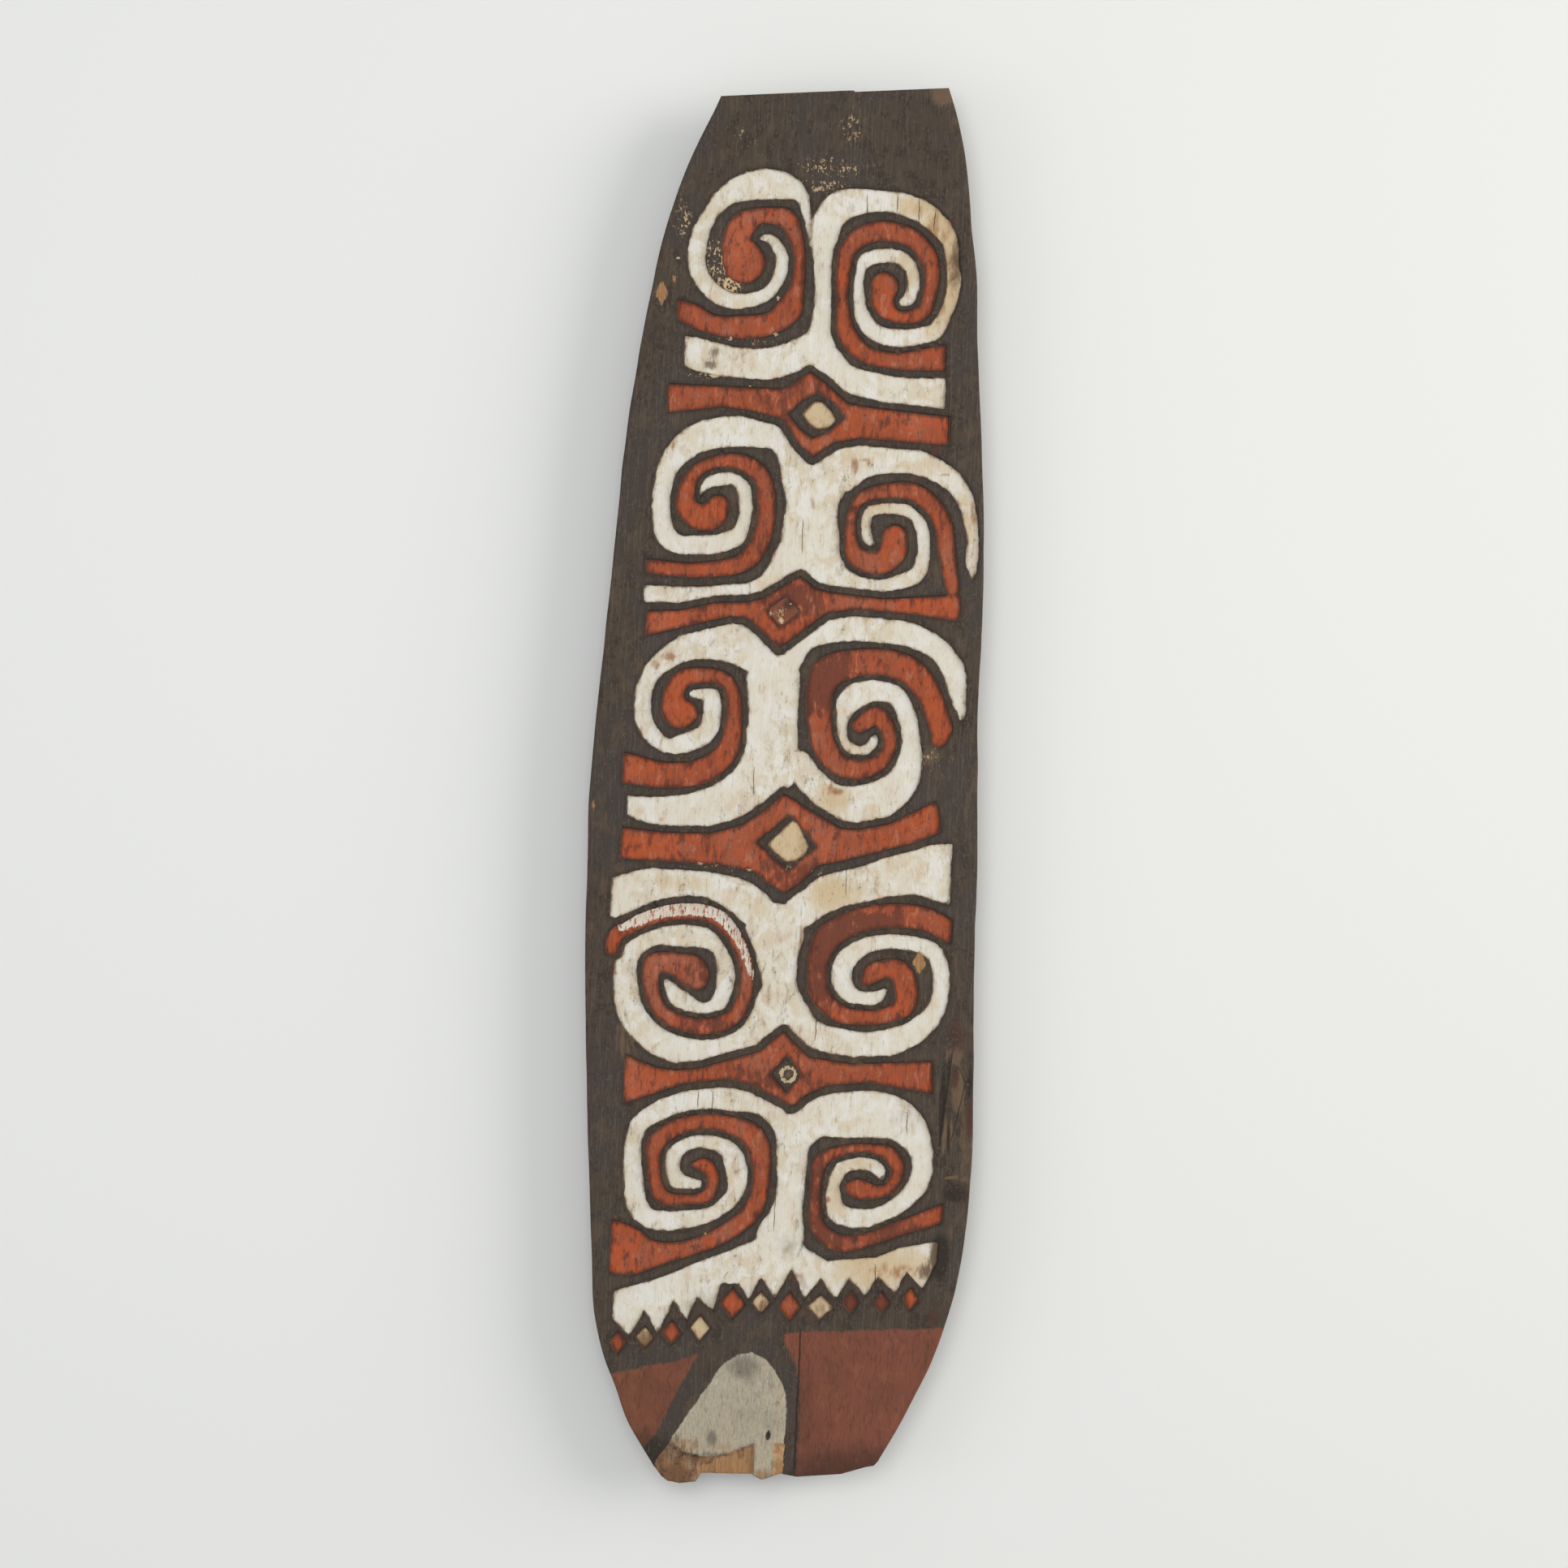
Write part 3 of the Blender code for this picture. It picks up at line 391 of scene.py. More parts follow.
# Soft patches, mm: x, y, radius in x, radius in y, strength
softSpots = {
    "cream": [
        (112, 722, 34, 18, 1.3), (140, 700, 28, 30, 1.7), (153, 640, 16, 70, 1.8),
        (135, 580, 30, 26, 0.8), (140, 490, 24, 18, 0.6), (-95, 455, 40, 12, 0.4),
        (-166, 420, 26, 22, 0.5), (46, 404, 26, 26, 0.8), (140, 400, 44, 16, 0.8),
        (190, 350, 14, 50, 0.8), (-80, 300, 20, 40, 0.4), (-60, 250, 30, 20, 0.7),
        (45, -135, 32, 24, 1.3), (120, -100, 50, 26, 0.5), (35, -20, 26, 24, 1.1),
        (100, -30, 40, 20, 0.6), (-110, 60, 18, 22, 0.5), (130, -595, 74, 34, 1.2),
        (60, -612, 30, 22, 0.7), (70, -510, 18, 34, 1.0), (95, -470, 30, 10, 0.9),
        (-95, -452, 36, 10, 0.6), (-120, 530, 44, 20, 0.4), (60, 50, 22, 22, 0.7),
        (100, 640, 20, 30, 0.8), (80, 340, 40, 30, 0.8), (-150, -130, 60, 12, 0.5),
        (-60, 738, 30, 8, 0.5), (-140, -500, 20, 30, 0.6), (-60, -500, 16, 40, 0.5),
        (-205, 30, 24, 20, 0.4), (-60, -150, 30, 20, 0.6),
    ],
    "grey": [
        (-160, 150, 40, 20, 0.3), (10, -575, 18, 20, 0.6), (-40, 60, 16, 70, 0.3),
        (-72, -818, 8, 12, 0.9), (-37, -728, 24, 18, 0.8), (-20, -790, 50, 16, 0.4),
        (-95, -660, 26, 30, 0.6), (150, -410, 30, 22, 0.4), (-14, -230, 20, 60, 0.25),
        (-15, 620, 12, 70, 0.4), (196, -582, 10, 20, 0.9),
    ],
    "bright": [
        (-155, 95, 34, 38, 1.0), (-185, 195, 40, 16, 0.7), (-130, 350, 36, 34, 0.5),
        (100, 300, 30, 24, 0.4), (-108, 670, 24, 34, 0.5), (85, 600, 30, 26, 0.6),
        (110, 465, 60, 20, 0.5), (150, 225, 50, 16, 0.6), (166, -634, 12, 16, 1.6),
        (-100, -487, 20, 20, 0.6), (-195, -600, 24, 34, 0.5), (165, 90, 20, 40, 0.5),
        (-180, -90, 50, 16, 0.8), (155, -40, 30, 16, 0.6), (-190, -380, 30, 20, 0.9),
        (-205, 10, 30, 16, 0.6), (120, -265, 30, 16, 0.7), (-55, -650, 8, 9, 0.5), (16, -650, 7, 9, 0.5),
        (-200, -780, 40, 60, 1.0),
    ],
    "deep": [
        (25, 130, 34, 40, 1.0), (60, -190, 70, 34, 1.2), (40, -240, 20, 40, 0.9),
        (100, -168, 30, 12, 1.0), (-40, 470, 50, 26, 0.4), (-20, 225, 44, 26, 0.6),
        (0, -110, 50, 20, 0.5), (-15, 490, 40, 16, 0.3), (60, -550, 30, 26, 0.8),
        (-100, -305, 40, 10, 0.5), (-120, -240, 30, 14, 0.4), (150, -560, 40, 20, 0.7),
        (92, -641, 12, 18, 1.3), (130, -640, 12, 18, 1.8), (-20, -370, 60, 14, 0.5),
        (45, -500, 12, 50, 0.7), (65, 370, 40, 16, 0.3),
    ],
    "worn": [  # black rubbed down to brown wood
        (132, 862, 22, 16, 0.8), (197, -428, 3.5, 26, 1.1), (205, -425, 3, 18, 1.0),
        (212, -372, 9, 30, 0.8), (226, -440, 12, 80, 0.5), (214, -481, 18, 1.5, 1.2),
        (205, -330, 12, 14, 0.8), (150, 40, 30, 14, 0.5), (-230, 300, 14, 120, 0.2),
        (-80, 840, 70, 20, 0.2), (60, 800, 60, 40, 0.2), (205, 0, 16, 120, 0.3),
        (190, -560, 30, 60, 0.3), (0, -362, 4, 4, 0.9), (-205, -330, 14, 34, 0.6),
    ],
    "flecks": [  # light flecks where the black has flaked
        (0, 765, 50, 16, 0.9), (-10, 740, 40, 12, 0.9), (20, 815, 16, 34, 0.8), (-110, 800, 20, 14, 0.6),
        (-182, 690, 14, 34, 0.9), (-140, 640, 24, 36, 1.0), (-122, 612, 22, 20, 1.2),
        (150, 40, 36, 20, 0.7), (160, 830, 30, 40, 0.5), (-140, 500, 44, 6, 0.9),
        (-100, 545, 50, 6, 0.7), (-40, -110, 110, 8, 0.8), (-38, 208, 12, 14, 0.75),
    ],
    "grimeAndShade": [  # soot and grime, mostly at the foot, and painted shade in the split along the right side, in the dips and under the broken step at the foot
        (120, -872, 120, 60, 1.1), (40, -770, 16, 90, 0.5), (-117, -864, 32, 18, 0.95),
        (-66, -838, 26, 6, 0.6), (-108, -826, 26, 16, 0.4), (-150, -840, 40, 30, 0.9),
        (-205, -780, 20, 60, 0.5), (190, -720, 30, 70, 0.4), (160, 655, 9, 40, 0.8),
        (-135, 529, 9, 8, 0.65), (-140, 513, 10, 7, 0.8), (199, -580, 12, 30, 1.5),
        (185, -600, 16, 12, 0.8), (-3, -811, 2.4, 4.5, 3.0), (-100, -846, 40, 10, 0.7),
        (193, -392, 3, 52, 1.8), (200, -340, 2, 20, 1.3), (-27, 221, 9, 8, 1.1),
        (203, -430, 1.6, 22, 1.4), (226, -362, 4, 20, 1.0), (214, -500, 18, 14, 0.9),
    ],
    "rust": [
        (46, 396, 5, 14, 1.1), (57, 405, 4, 3, 0.9), (63, 402, 3, 6, 0.8), (158, 392, 8, 3, 0.9),
        (146, 420, 7, 8, 0.9), (-173, 149, 11, 6, 0.9), (-190, 138, 8, 6, 0.9), (-222, -243, 4, 9, 1.3),
        (45, -8, 9, 5, 1.1), (35, -3, 4, 9, 0.8), (-181, 412, 3, 8, 1.1), (90, 350, 2, 3, 1.1),
        (57, -515, 5, 5, 1.0), (84, -476, 6, 3, 0.9), (196, 350, 4, 22, 0.8), (130, 700, 14, 24, 0.7),
        (118, 718, 26, 12, 0.45), (144, 698, 16, 24, 0.55), (156, 650, 13, 54, 0.6),
        (148, 596, 22, 26, 0.4), (-108, -828, 24, 12, 0.8), (-116, -866, 18, 10, 0.5),
        (-60, -828, 30, 8, 0.55), (-8, -860, 11, 9, 0.9), (8, -770, 8, 50, 0.4), (-98, -688, 8, 9, 0.7),
        (-17, -650, 7, 9, 0.8), (50, -652, 9, 10, 0.6), (-160, -700, 12, 12, 0.9), (8, -190, 3, 22, 0.9),
        (26, -620, 12, 16, 0.7), (150, -600, 40, 12, 0.6), (208, -358, 4, 16, 1.3),
        (228, -405, 5, 26, 1.3), (205, -305, 14, 30, 0.7), (196, -655, 10, 16, 0.9),
    ],
}
# Dips in the face, mm: x, y, radius in x, radius in y, depth
dips = [
    (-204, 600, 7, 14, 1.6), (156, -217, 6, 14, 2.2), (193, -392, 4.5, 50, 3.4), (202, -425, 3, 26, 1.8),
    (224, -375, 4, 30, 1.6), (-34, 211, 14, 14, 0.9), (31, -770, 2.2, 92, 1.6), (-3, -811, 2.4, 4.5, 3.5),
    (215, -482, 20, 1.8, 1.2),
]
bareSpots = [  # bare wood shown by a chip: x, y, half width, half height
    (-204, 600, 8, 15), (-189, 618, 2.5, 5), (156, -216, 8, 16), (-258, -40, 2, 8), (-93, -565, 1.6, 1.6),
]
lostPaint = {  # a ragged strip where the red has flaked off a band in row 4
    "strip": [
        (-216, -190, 8), (-198, -180, 13), (-179, -171, 14), (-151, -165, 14), (-125, -163, 14),
        (-102, -166, 14), (-86, -176, 13), (-76, -188, 12), (-67, -202, 9), (-57, -225, 7), (-50, -244, 4),
    ],
}
paleMarks = [  # spots of white paint, x, y, half width, half height
    (-36, 200, 4, 4), (-50, 208, 2, 4), (-26, 222, 3, 1.5), (-93, -565, 2.4, 2.2), (-185, 644, 3, 1.6),
    (-59, 600, 1.6, 4), (-60, 555, 3, 3), (-116, 547, 2, 4), (-134, 500, 7, 3), (-88, 491, 4, 3),
    (-122, -106, 5, 1.6), (-60, -110, 4, 2),
]
paleRing = (0, -362, 8.8, 3.6)  # x, y, radius, breadth of the ring in the lowest lozenge
cracks = [  # x at the top, y at the top, x at the bottom, y at the bottom, width
    (31, -672, 31, -858, 1.6), (28, -672, 33, -725, 0.9), (45, 736, 46, 700, 0.8), (84, 741, 83, 712, 0.8),
    (110, 735, 111, 700, 0.9), (131, 722, 130, 690, 0.8), (-110, -385, -110, -412, 0.8),
    (-92, -384, -93, -420, 0.7), (32, -288, 31, -322, 0.8), (150, -400, 151, -432, 0.8),
    (95, 648, 97, 610, 0.7), (-15, 330, -14, 282, 0.6), (60, -95, 61, -140, 0.6), (-8, -480, -9, -560, 0.6),
    (-61, 20, -60, -20, 0.6), (120, -590, 121, -628, 0.7), (160, 500, 160, 432, 0.7),
    (203, -320, 191, -442, 1.5), (223, -350, 205, -440, 0.9), (210, -340, 229, -380, 0.8),
]


def smoothKnots(knots, step):
    # cubic through the knots, tangents averaged by spacing, read about every step
    p = np.asarray(knots, float)
    gap = np.hypot(*np.diff(p[:, :2], axis=0).T)
    at = np.concatenate([[0.0], np.cumsum(gap)])
    slope = np.diff(p, axis=0) / gap[:, None]
    tangent = np.concatenate([slope[:1], slope[:1].repeat(len(p) - 2, axis=0), slope[-1:]])
    weight = (gap[:-1] + gap[1:])[:, None]
    tangent[1:-1] = (slope[:-1] * gap[1:, None] + slope[1:] * gap[:-1, None]) / weight
    u = np.linspace(0.0, at[-1], max(2, int(np.ceil(at[-1] / step)) + 1))
    k = np.clip(np.searchsorted(at, u, side="right") - 1, 0, len(gap) - 1)
    h = gap[k][:, None]
    s = ((u - at[k]) / gap[k])[:, None]
    here = (2 * s**3 - 3 * s**2 + 1) * p[k] + (s**3 - 2 * s**2 + s) * h * tangent[k]
    there = (3 * s**2 - 2 * s**3) * p[k + 1] + (s**3 - s**2) * h * tangent[k + 1]
    return here + there


def alongLine(points, shares):
    # points of a polyline at the given shares of its length
    p = np.asarray(points, float)
    at = np.concatenate([[0.0], np.cumsum(np.hypot(*np.diff(p, axis=0).T))])
    return np.stack([np.interp(shares * at[-1], at, side) for side in p.T], axis=-1)


latticeSize = (61, 67)  # cells after which the noise and the tool marks repeat


def latticeNoise(x, y, sizeX, sizeY, seed):
    # random heights on a lattice of the given size, blended by a smooth step, -1 to 1
    table = np.random.default_rng(seed).uniform(-1.0, 1.0, latticeSize)
    u, v = x / sizeX, y / sizeY
    i, j = np.floor(u).astype(int), np.floor(v).astype(int)
    u, v = u - i, v - j
    u, v = u * u * (3 - 2 * u), v * v * (3 - 2 * v)
    i, iNext = i % latticeSize[0], (i + 1) % latticeSize[0]
    j, jNext = j % latticeSize[1], (j + 1) % latticeSize[1]
    low = table[i, j] * (1 - u) + table[iNext, j] * u
    high = table[i, jNext] * (1 - u) + table[iNext, jNext] * u
    return low * (1 - v) + high * v


def toolCuts(x, y, sizeX, sizeY, seed):
    # overlapping shallow bowls on a jittered lattice: 1 at a bowl's middle, falling with the
    # square of the distance to the nearest one, so ridges stand between the bowls
    stray, steepness = 0.34, 2.2
    jitter = np.random.default_rng(seed).uniform(-stray, stray, (2, *latticeSize))
    u, v = x / sizeX, y / sizeY
    i, j = np.floor(u).astype(int), np.floor(v).astype(int)
    nearest = np.full(u.shape, np.inf)
    for a in (-1, 0, 1):
        for b in (-1, 0, 1):
            strayU, strayV = jitter[:, (i + a) % latticeSize[0], (j + b) % latticeSize[1]]
            du = u - (i + a + 0.5 + strayU)
            dv = v - (j + b + 0.5 + strayV)
            nearest = np.minimum(nearest, du * du + dv * dv)
    return np.clip(1.0 - steepness * nearest, 0.0, 1.0)


# The drawing as distances on a fine grid: negative inside a shape, positive outside.
longSides = [smoothKnots(side, shieldSettings["outlineStep"]) for side in (rightSide, leftSide)]
outline = np.vstack([topEnd, longSides[0], footEnd, longSides[1]])
drawLow, drawHigh = outline.min(axis=0), outline.max(axis=0)
drawMiddle = 0.5 * (drawLow + drawHigh)
halfWidth = 0.5 * (drawHigh[0] - drawLow[0])
drawMargin, drawStep = shieldSettings["drawingMargin"], shieldSettings["drawingStep"]
rasterX, rasterY = [
    np.arange(low - drawMargin, high + drawMargin, drawStep) for low, high in zip(drawLow, drawHigh)
]


def windowOf(low, high, reach):
    # the part of the drawing's grid within reach of a box
    columns = slice(*np.searchsorted(rasterX, (low[0] - reach, high[0] + reach)))
    rows = slice(*np.searchsorted(rasterY, (low[1] - reach, high[1] + reach)))
    return rows, columns


def nearestOnLine(x, y, a, b):
    # for each place, how far along the line from a to b its nearest point lies, 0 to 1, and
    # how far off that point is
    px, py = x - a[0], y - a[1]
    ex, ey = b[0] - a[0], b[1] - a[1]
    t = np.clip((px * ex + py * ey) / (ex * ex + ey * ey), 0.0, 1.0)
    return t, np.hypot(px - t * ex, py - t * ey)


def bandField(bands, ends):
    # distance to the nearest band: a chain of round-ended strokes of changing width, cut off
    # where it has an end
    field = np.full((len(rasterY), len(rasterX)), farOff)
    for name, knots in bands.items():
        one = np.full(field.shape, farOff)
        path = smoothKnots(knots, shieldSettings["strokeStep"])
        for a, b in zip(path[:-1], path[1:]):
            reach = farOff + 0.5 * max(a[2], b[2])
            rows, columns = windowOf(np.minimum(a, b), np.maximum(a, b), reach)
            t, apart = nearestOnLine(rasterX[columns], rasterY[rows, None], a, b)
            apart -= 0.5 * (a[2] + (b[2] - a[2]) * t)
            one[rows, columns] = np.minimum(one[rows, columns], apart)
        if name in ends:
            one = np.maximum(one, np.sign(ends[name]) * rasterX - abs(ends[name]))
        field = np.minimum(field, one)
    return field


def shapeField(shapes):
    # distance to the nearest polygon: over its sides, with the sign from counting crossings
    field = np.full((len(rasterY), len(rasterX)), farOff)
    for corners in shapes:
        p = np.asarray(corners, float)
        rows, columns = windowOf(p.min(axis=0), p.max(axis=0), farOff)
        x, y = np.meshgrid(rasterX[columns], rasterY[rows])
        nearest = np.full(x.shape, farOff)
        inside = np.zeros(x.shape, bool)
        for a, b in zip(p, np.roll(p, -1, axis=0)):
            nearest = np.minimum(nearest, nearestOnLine(x, y, a, b)[1])
            if b[1] != a[1]:
                crossing = a[0] + (b[0] - a[0]) * (y - a[1]) / (b[1] - a[1])
                inside ^= ((a[1] > y) != (b[1] > y)) & (x < crossing)
        one = np.where(inside, -nearest, nearest)
        field[rows, columns] = np.minimum(field[rows, columns], one)
    return field


def diamonds(rows):
    # corners of upright diamonds from their middles and half sizes
    return [[(a - w, b), (a, b + h), (a + w, b), (a, b - h)] for a, b, w, h in rows]


def ringField(x, y, radius, breadth):
    # distance to a ring: how far the distance from its middle is from its radius
    apart = np.hypot(rasterX[None, :] - x, rasterY[:, None] - y)
    return np.minimum(abs(apart - radius) - 0.5 * breadth, farOff)


def readField(field, x, y):
    # value of a field at any places, blended between the four nearest grid points; a place
    # beyond the grid is read just inside its last cell
    justInside = 1.001
    u = np.clip((x - rasterX[0]) / drawStep, 0, len(rasterX) - justInside)
    v = np.clip((y - rasterY[0]) / drawStep, 0, len(rasterY) - justInside)
    i, j = u.astype(int), v.astype(int)
    u, v = u - i, v - j
    low = field[j, i] * (1 - u) + field[j, i + 1] * u
    high = field[j + 1, i] * (1 - u) + field[j + 1, i + 1] * u
    return low * (1 - v) + high * v


def softPatches(patches, x, y):
    # strongest of some soft spots, each falling as e to the minus cube of the distance from its
    # middle, counted in its own radii
    value = np.zeros(x.shape)
    for px, py, rx, ry, strength in patches:
        bell = np.exp(-((((x - px) / rx) ** 2 + ((y - py) / ry) ** 2) ** 1.5))
        value = np.maximum(value, strength * bell)
    return value


def drawShield():
    # every painted shape as a field of distances
    s = shieldSettings
    bars = shapeField(crossBars)
    redScrolls = bandField(redBands, redEnds)
    white = np.minimum(bandField(whiteBands, whiteEnds), shapeField([whiteShoulder + teeth]))
    white = np.maximum(white, np.maximum(s["moat"] - bars, s["ridge"] - redScrolls))
    fields = {
        "red": np.minimum(redScrolls, np.maximum(bars, -shapeField(lozenges))),
        "white": white,
        "redSmall": shapeField(diamonds(redLozenges)),
        "tan": np.minimum(shapeField(lozengeHearts), shapeField(diamonds(tanLozenges))),
        "ground": shapeField(groundShapes),
        "dome": shapeField([domeShape]),
        "split": shapeField([breakShape]),
        "bare": np.minimum(shapeField(bareStrips), shapeField(diamonds(bareSpots))),
        "lost": bandField(lostPaint, {}),
        "pale": np.minimum(shapeField(diamonds(paleMarks)), ringField(*paleRing)),
        "edge": shapeField([outline]),
    }
    fields["carved"] = np.min([fields[k] for k in ("red", "white", "redSmall", "tan")], axis=0)
    return fields


fields = drawShield()
print("drawing measured")


def spacedShares(count, edges):
    # shares from 0 to 1: a few close steps at both ends, even steps between them
    inner = np.linspace(edges[-1], 1.0 - edges[-1], count + 1 - 2 * (len(edges) - 1))
    return np.concatenate([edges[:-1], inner, 1.0 - np.array(edges[:-1])[::-1]])


def coonsGrid(u, v, inset):
    # a sheet stretched between the four sides of the outline: each point blends the two long
    # sides at its height and the two ends at its width, less the blend of the four corners
    foot, top = alongLine([*footEnd[::-1], rightSide[-1]], u), alongLine([*topEnd, rightSide[0]], u)
    right, left = [smoothKnots(side, shieldSettings["sideStep"]) for side in (rightSide, leftSide)]
    right, left = alongLine(right[::-1], v), alongLine(np.vstack([footEnd[-1], left, topEnd[0]]), v)
    for side, inward, name in ((left, 1, "leftSide"), (right, -1, "rightSide")):
        wave = latticeNoise(side[1:-1, 1], side[1:-1, 1], *markSizes[name])
        side[1:-1, 0] += inward * shieldSettings["hewnWave"] * (1 - wave)
    a, b = u[None, :, None], v[:, None, None]
    sheet = (1 - a) * left[:, None] + a * right[:, None] + (1 - b) * foot[None] + b * top[None]
    sheet -= (1 - a) * ((1 - b) * foot[0] + b * top[0]) + a * ((1 - b) * foot[-1] + b * top[-1])
    sheet[:, 0, 0] += inset
    sheet[:, -1, 0] -= inset
    sheet[0, :, 1] += inset
    sheet[-1, :, 1] -= inset
    return sheet[..., 0], sheet[..., 1]


def snapToCarving(x, y):
    # moves the grid points beside a carved outline onto the foot or the rim of its wall,
    # along the slope of the distance, so the wall is crisp and one cell wide
    s = shieldSettings
    field = fields["carved"]
    slopeY, slopeX = np.gradient(field, drawStep)
    half = 0.5 * s["wallWidth"]
    below = readField(field, x, y) < half
    beside = np.zeros(x.shape, bool)
    across, along = below[:, 1:] != below[:, :-1], below[1:] != below[:-1]
    beside[:, 1:] |= across
    beside[:, :-1] |= across
    beside[1:] |= along
    beside[:-1] |= along
    beside[[0, -1]] = False
    beside[:, [0, -1]] = False
    target = np.where(below, -half, half)
    startX, startY = x.copy(), y.copy()
    for _ in range(s["snapPasses"]):
        gx, gy = readField(slopeX, x, y), readField(slopeY, x, y)
        step = (target - (readField(field, x, y) - half)) / np.maximum(gx * gx + gy * gy, s["leastSlope"])
        x = np.where(beside, x + step * gx, x)
        y = np.where(beside, y + step * gy, y)
        away = np.maximum(np.hypot(x - startX, y - startY) / s["snapReach"], 1.0)
        x, y = startX + (x - startX) / away, startY + (y - startY) / away
    return x, y, below


def frontHeight(x, y, sunk):
    # a crown that falls with the square of the distance from the middle, less the sunk fields
    # and the tool marks, the split foot, bell-shaped dips and a quarter circle worn off the edge
    s = shieldSettings
    across = (x - drawMiddle[0]) / halfWidth
    height = s["handleHeight"] + s["boardEdge"] + s["boardCrown"] * (1 - across * across)
    drift = s["knifeDrift"] * latticeNoise(x, y, *markSizes["knifeDrift"])
    cuts = toolCuts(x + drift, y, *markSizes["knife"])
    height -= s["relief"] * sunk + s["knifeMark"] * sunk * (cuts - 0.5)
    height -= s["planeMark"] * (1 - sunk) * toolCuts(x, y, *markSizes["plane"])
    split = np.clip(0.5 - readField(fields["split"], x, y) / s["breakSlope"], 0.0, 1.0)
    fibre = latticeNoise(x, y, *markSizes["fibre"])
    fibre += s["splinterShare"] * latticeNoise(x, y, *markSizes["splinter"])
    height -= split * (s["breakDepth"] + s["fibreDepth"] * fibre)
    for px, py, rx, ry, depth in dips:
        height -= depth * np.exp(-(((x - px) / rx) ** 2 + ((y - py) / ry) ** 2))
    edge = np.clip(-readField(fields["edge"], x, y), 0.0, s["edgeRound"])
    return height - s["edgeRound"] + np.sqrt(s["edgeRound"] ** 2 - (s["edgeRound"] - edge) ** 2)


def gridFaces(index, turned):
    # two anticlockwise triangles for each cell of a grid of vertex numbers, cut along the
    # diagonal from its first corner, or along the other one where it is turned
    a, b, c, d = index[:-1, :-1], index[:-1, 1:], index[1:, 1:], index[1:, :-1]
    turned = turned[..., None]
    first = np.where(turned, np.stack([a, b, d], -1), np.stack([a, b, c], -1))
    second = np.where(turned, np.stack([b, c, d], -1), np.stack([a, c, d], -1))
    return np.concatenate([first.reshape(-1, 3), second.reshape(-1, 3)])


def ringOf(index):
    # vertex numbers round the rim of a grid, anticlockwise from its first corner
    return np.concatenate([index[0, :-1], index[:-1, -1], index[-1, :0:-1], index[:0:-1, 0]])


def ringFaces(upper, lower):
    # a closed band between two rings with as many points, its outside outwards
    upNext, lowNext = np.roll(upper, -1), np.roll(lower, -1)
    return np.concatenate([np.stack([upper, lower, lowNext], -1), np.stack([upper, lowNext, upNext], -1)])


def halvingFaces(fine, coarse, coarseFirst=False):
    # a closed band between a fine ring and one with half as many points below it, or above it
    # where the coarse one comes first
    a, b, c = fine[0::2], fine[1::2], np.roll(fine[0::2], -1)
    low, lowNext = coarse, np.roll(coarse, -1)
    faces = np.concatenate(
        [np.stack([a, low, b], -1), np.stack([b, low, lowNext], -1), np.stack([b, lowNext, c], -1)]
    )
    return faces[:, ::-1] if coarseFirst else faces


def roundedSection(a, b, halfA, halfB, corner):
    # moves a point of a rectangle's rim onto the same rectangle with rounded corners
    innerA = np.clip(a, corner - halfA, halfA - corner)
    innerB = np.clip(b, corner - halfB, halfB - corner)
    da, db = a - innerA, b - innerB
    reach = np.maximum(np.hypot(da, db), leastLength)
    return innerA + da / reach * corner, innerB + db / reach * corner


# The mesh as it grows: blocks of points, triangles, and which part each triangle is of.
made = {"points": [], "faces": [], "parts": [], "count": 0}
partNames = ["face", "edge", "back", "handle"]


def addPoints(x, y, z):
    # puts a block of points after the ones before it and gives their numbers
    block = np.stack(np.broadcast_arrays(x, y, z), -1).reshape(-1, 3)
    made["points"].append(block)
    made["count"] += len(block)
    return np.arange(made["count"] - len(block), made["count"])


def addFaces(faces, part):
    # puts triangles of one part after the ones before them
    made["faces"].append(faces)
    made["parts"].append(np.full(len(faces), partNames.index(part)))


def buildFace(u, v):
    # the painted face: the sheet, snapped to the carving and given its height; each cell is cut
    # along the diagonal that leaves an odd corner alone
    x, y, below = snapToCarving(*coonsGrid(u, v, shieldSettings["faceInset"]))
    z = frontHeight(x, y, below.astype(float))
    index = addPoints(x, y, z).reshape(x.shape)
    addFaces(gridFaces(index, below[:-1, :-1] != below[1:, 1:]), "face")
    rim = ringOf(np.arange(x.size).reshape(x.shape))
    return index, np.stack([x.ravel()[rim], y.ravel()[rim], z.ravel()[rim]], -1)


def buildEdge(index, rim):
    # two rings below the rim of the face, each drawn in a little further along its normal
    s = shieldSettings
    backLevel = s["handleHeight"] + s["backRim"]
    along = np.roll(rim, -1, axis=0) - np.roll(rim, 1, axis=0)
    out = np.stack([along[:, 1], -along[:, 0]], -1)
    out /= np.maximum(np.hypot(*out.T), leastLength)[:, None]
    upper = ringOf(index)
    skewX, skewRing = s["edgeSkew"]
    for share, drawnIn in s["edgeRings"]:
        askew = rim[:, 1] + skewX * rim[:, 0], rim[:, 2] + skewRing * share
        rough = s["edgeRough"] * latticeNoise(*askew, *markSizes["edge"])
        x, y = (rim[:, :2] + (rough - drawnIn)[:, None] * out).T
        lower = addPoints(x, y, rim[:, 2] + (backLevel - rim[:, 2]) * share)
        addFaces(ringFaces(upper, lower), "edge")
        upper = lower
    return upper


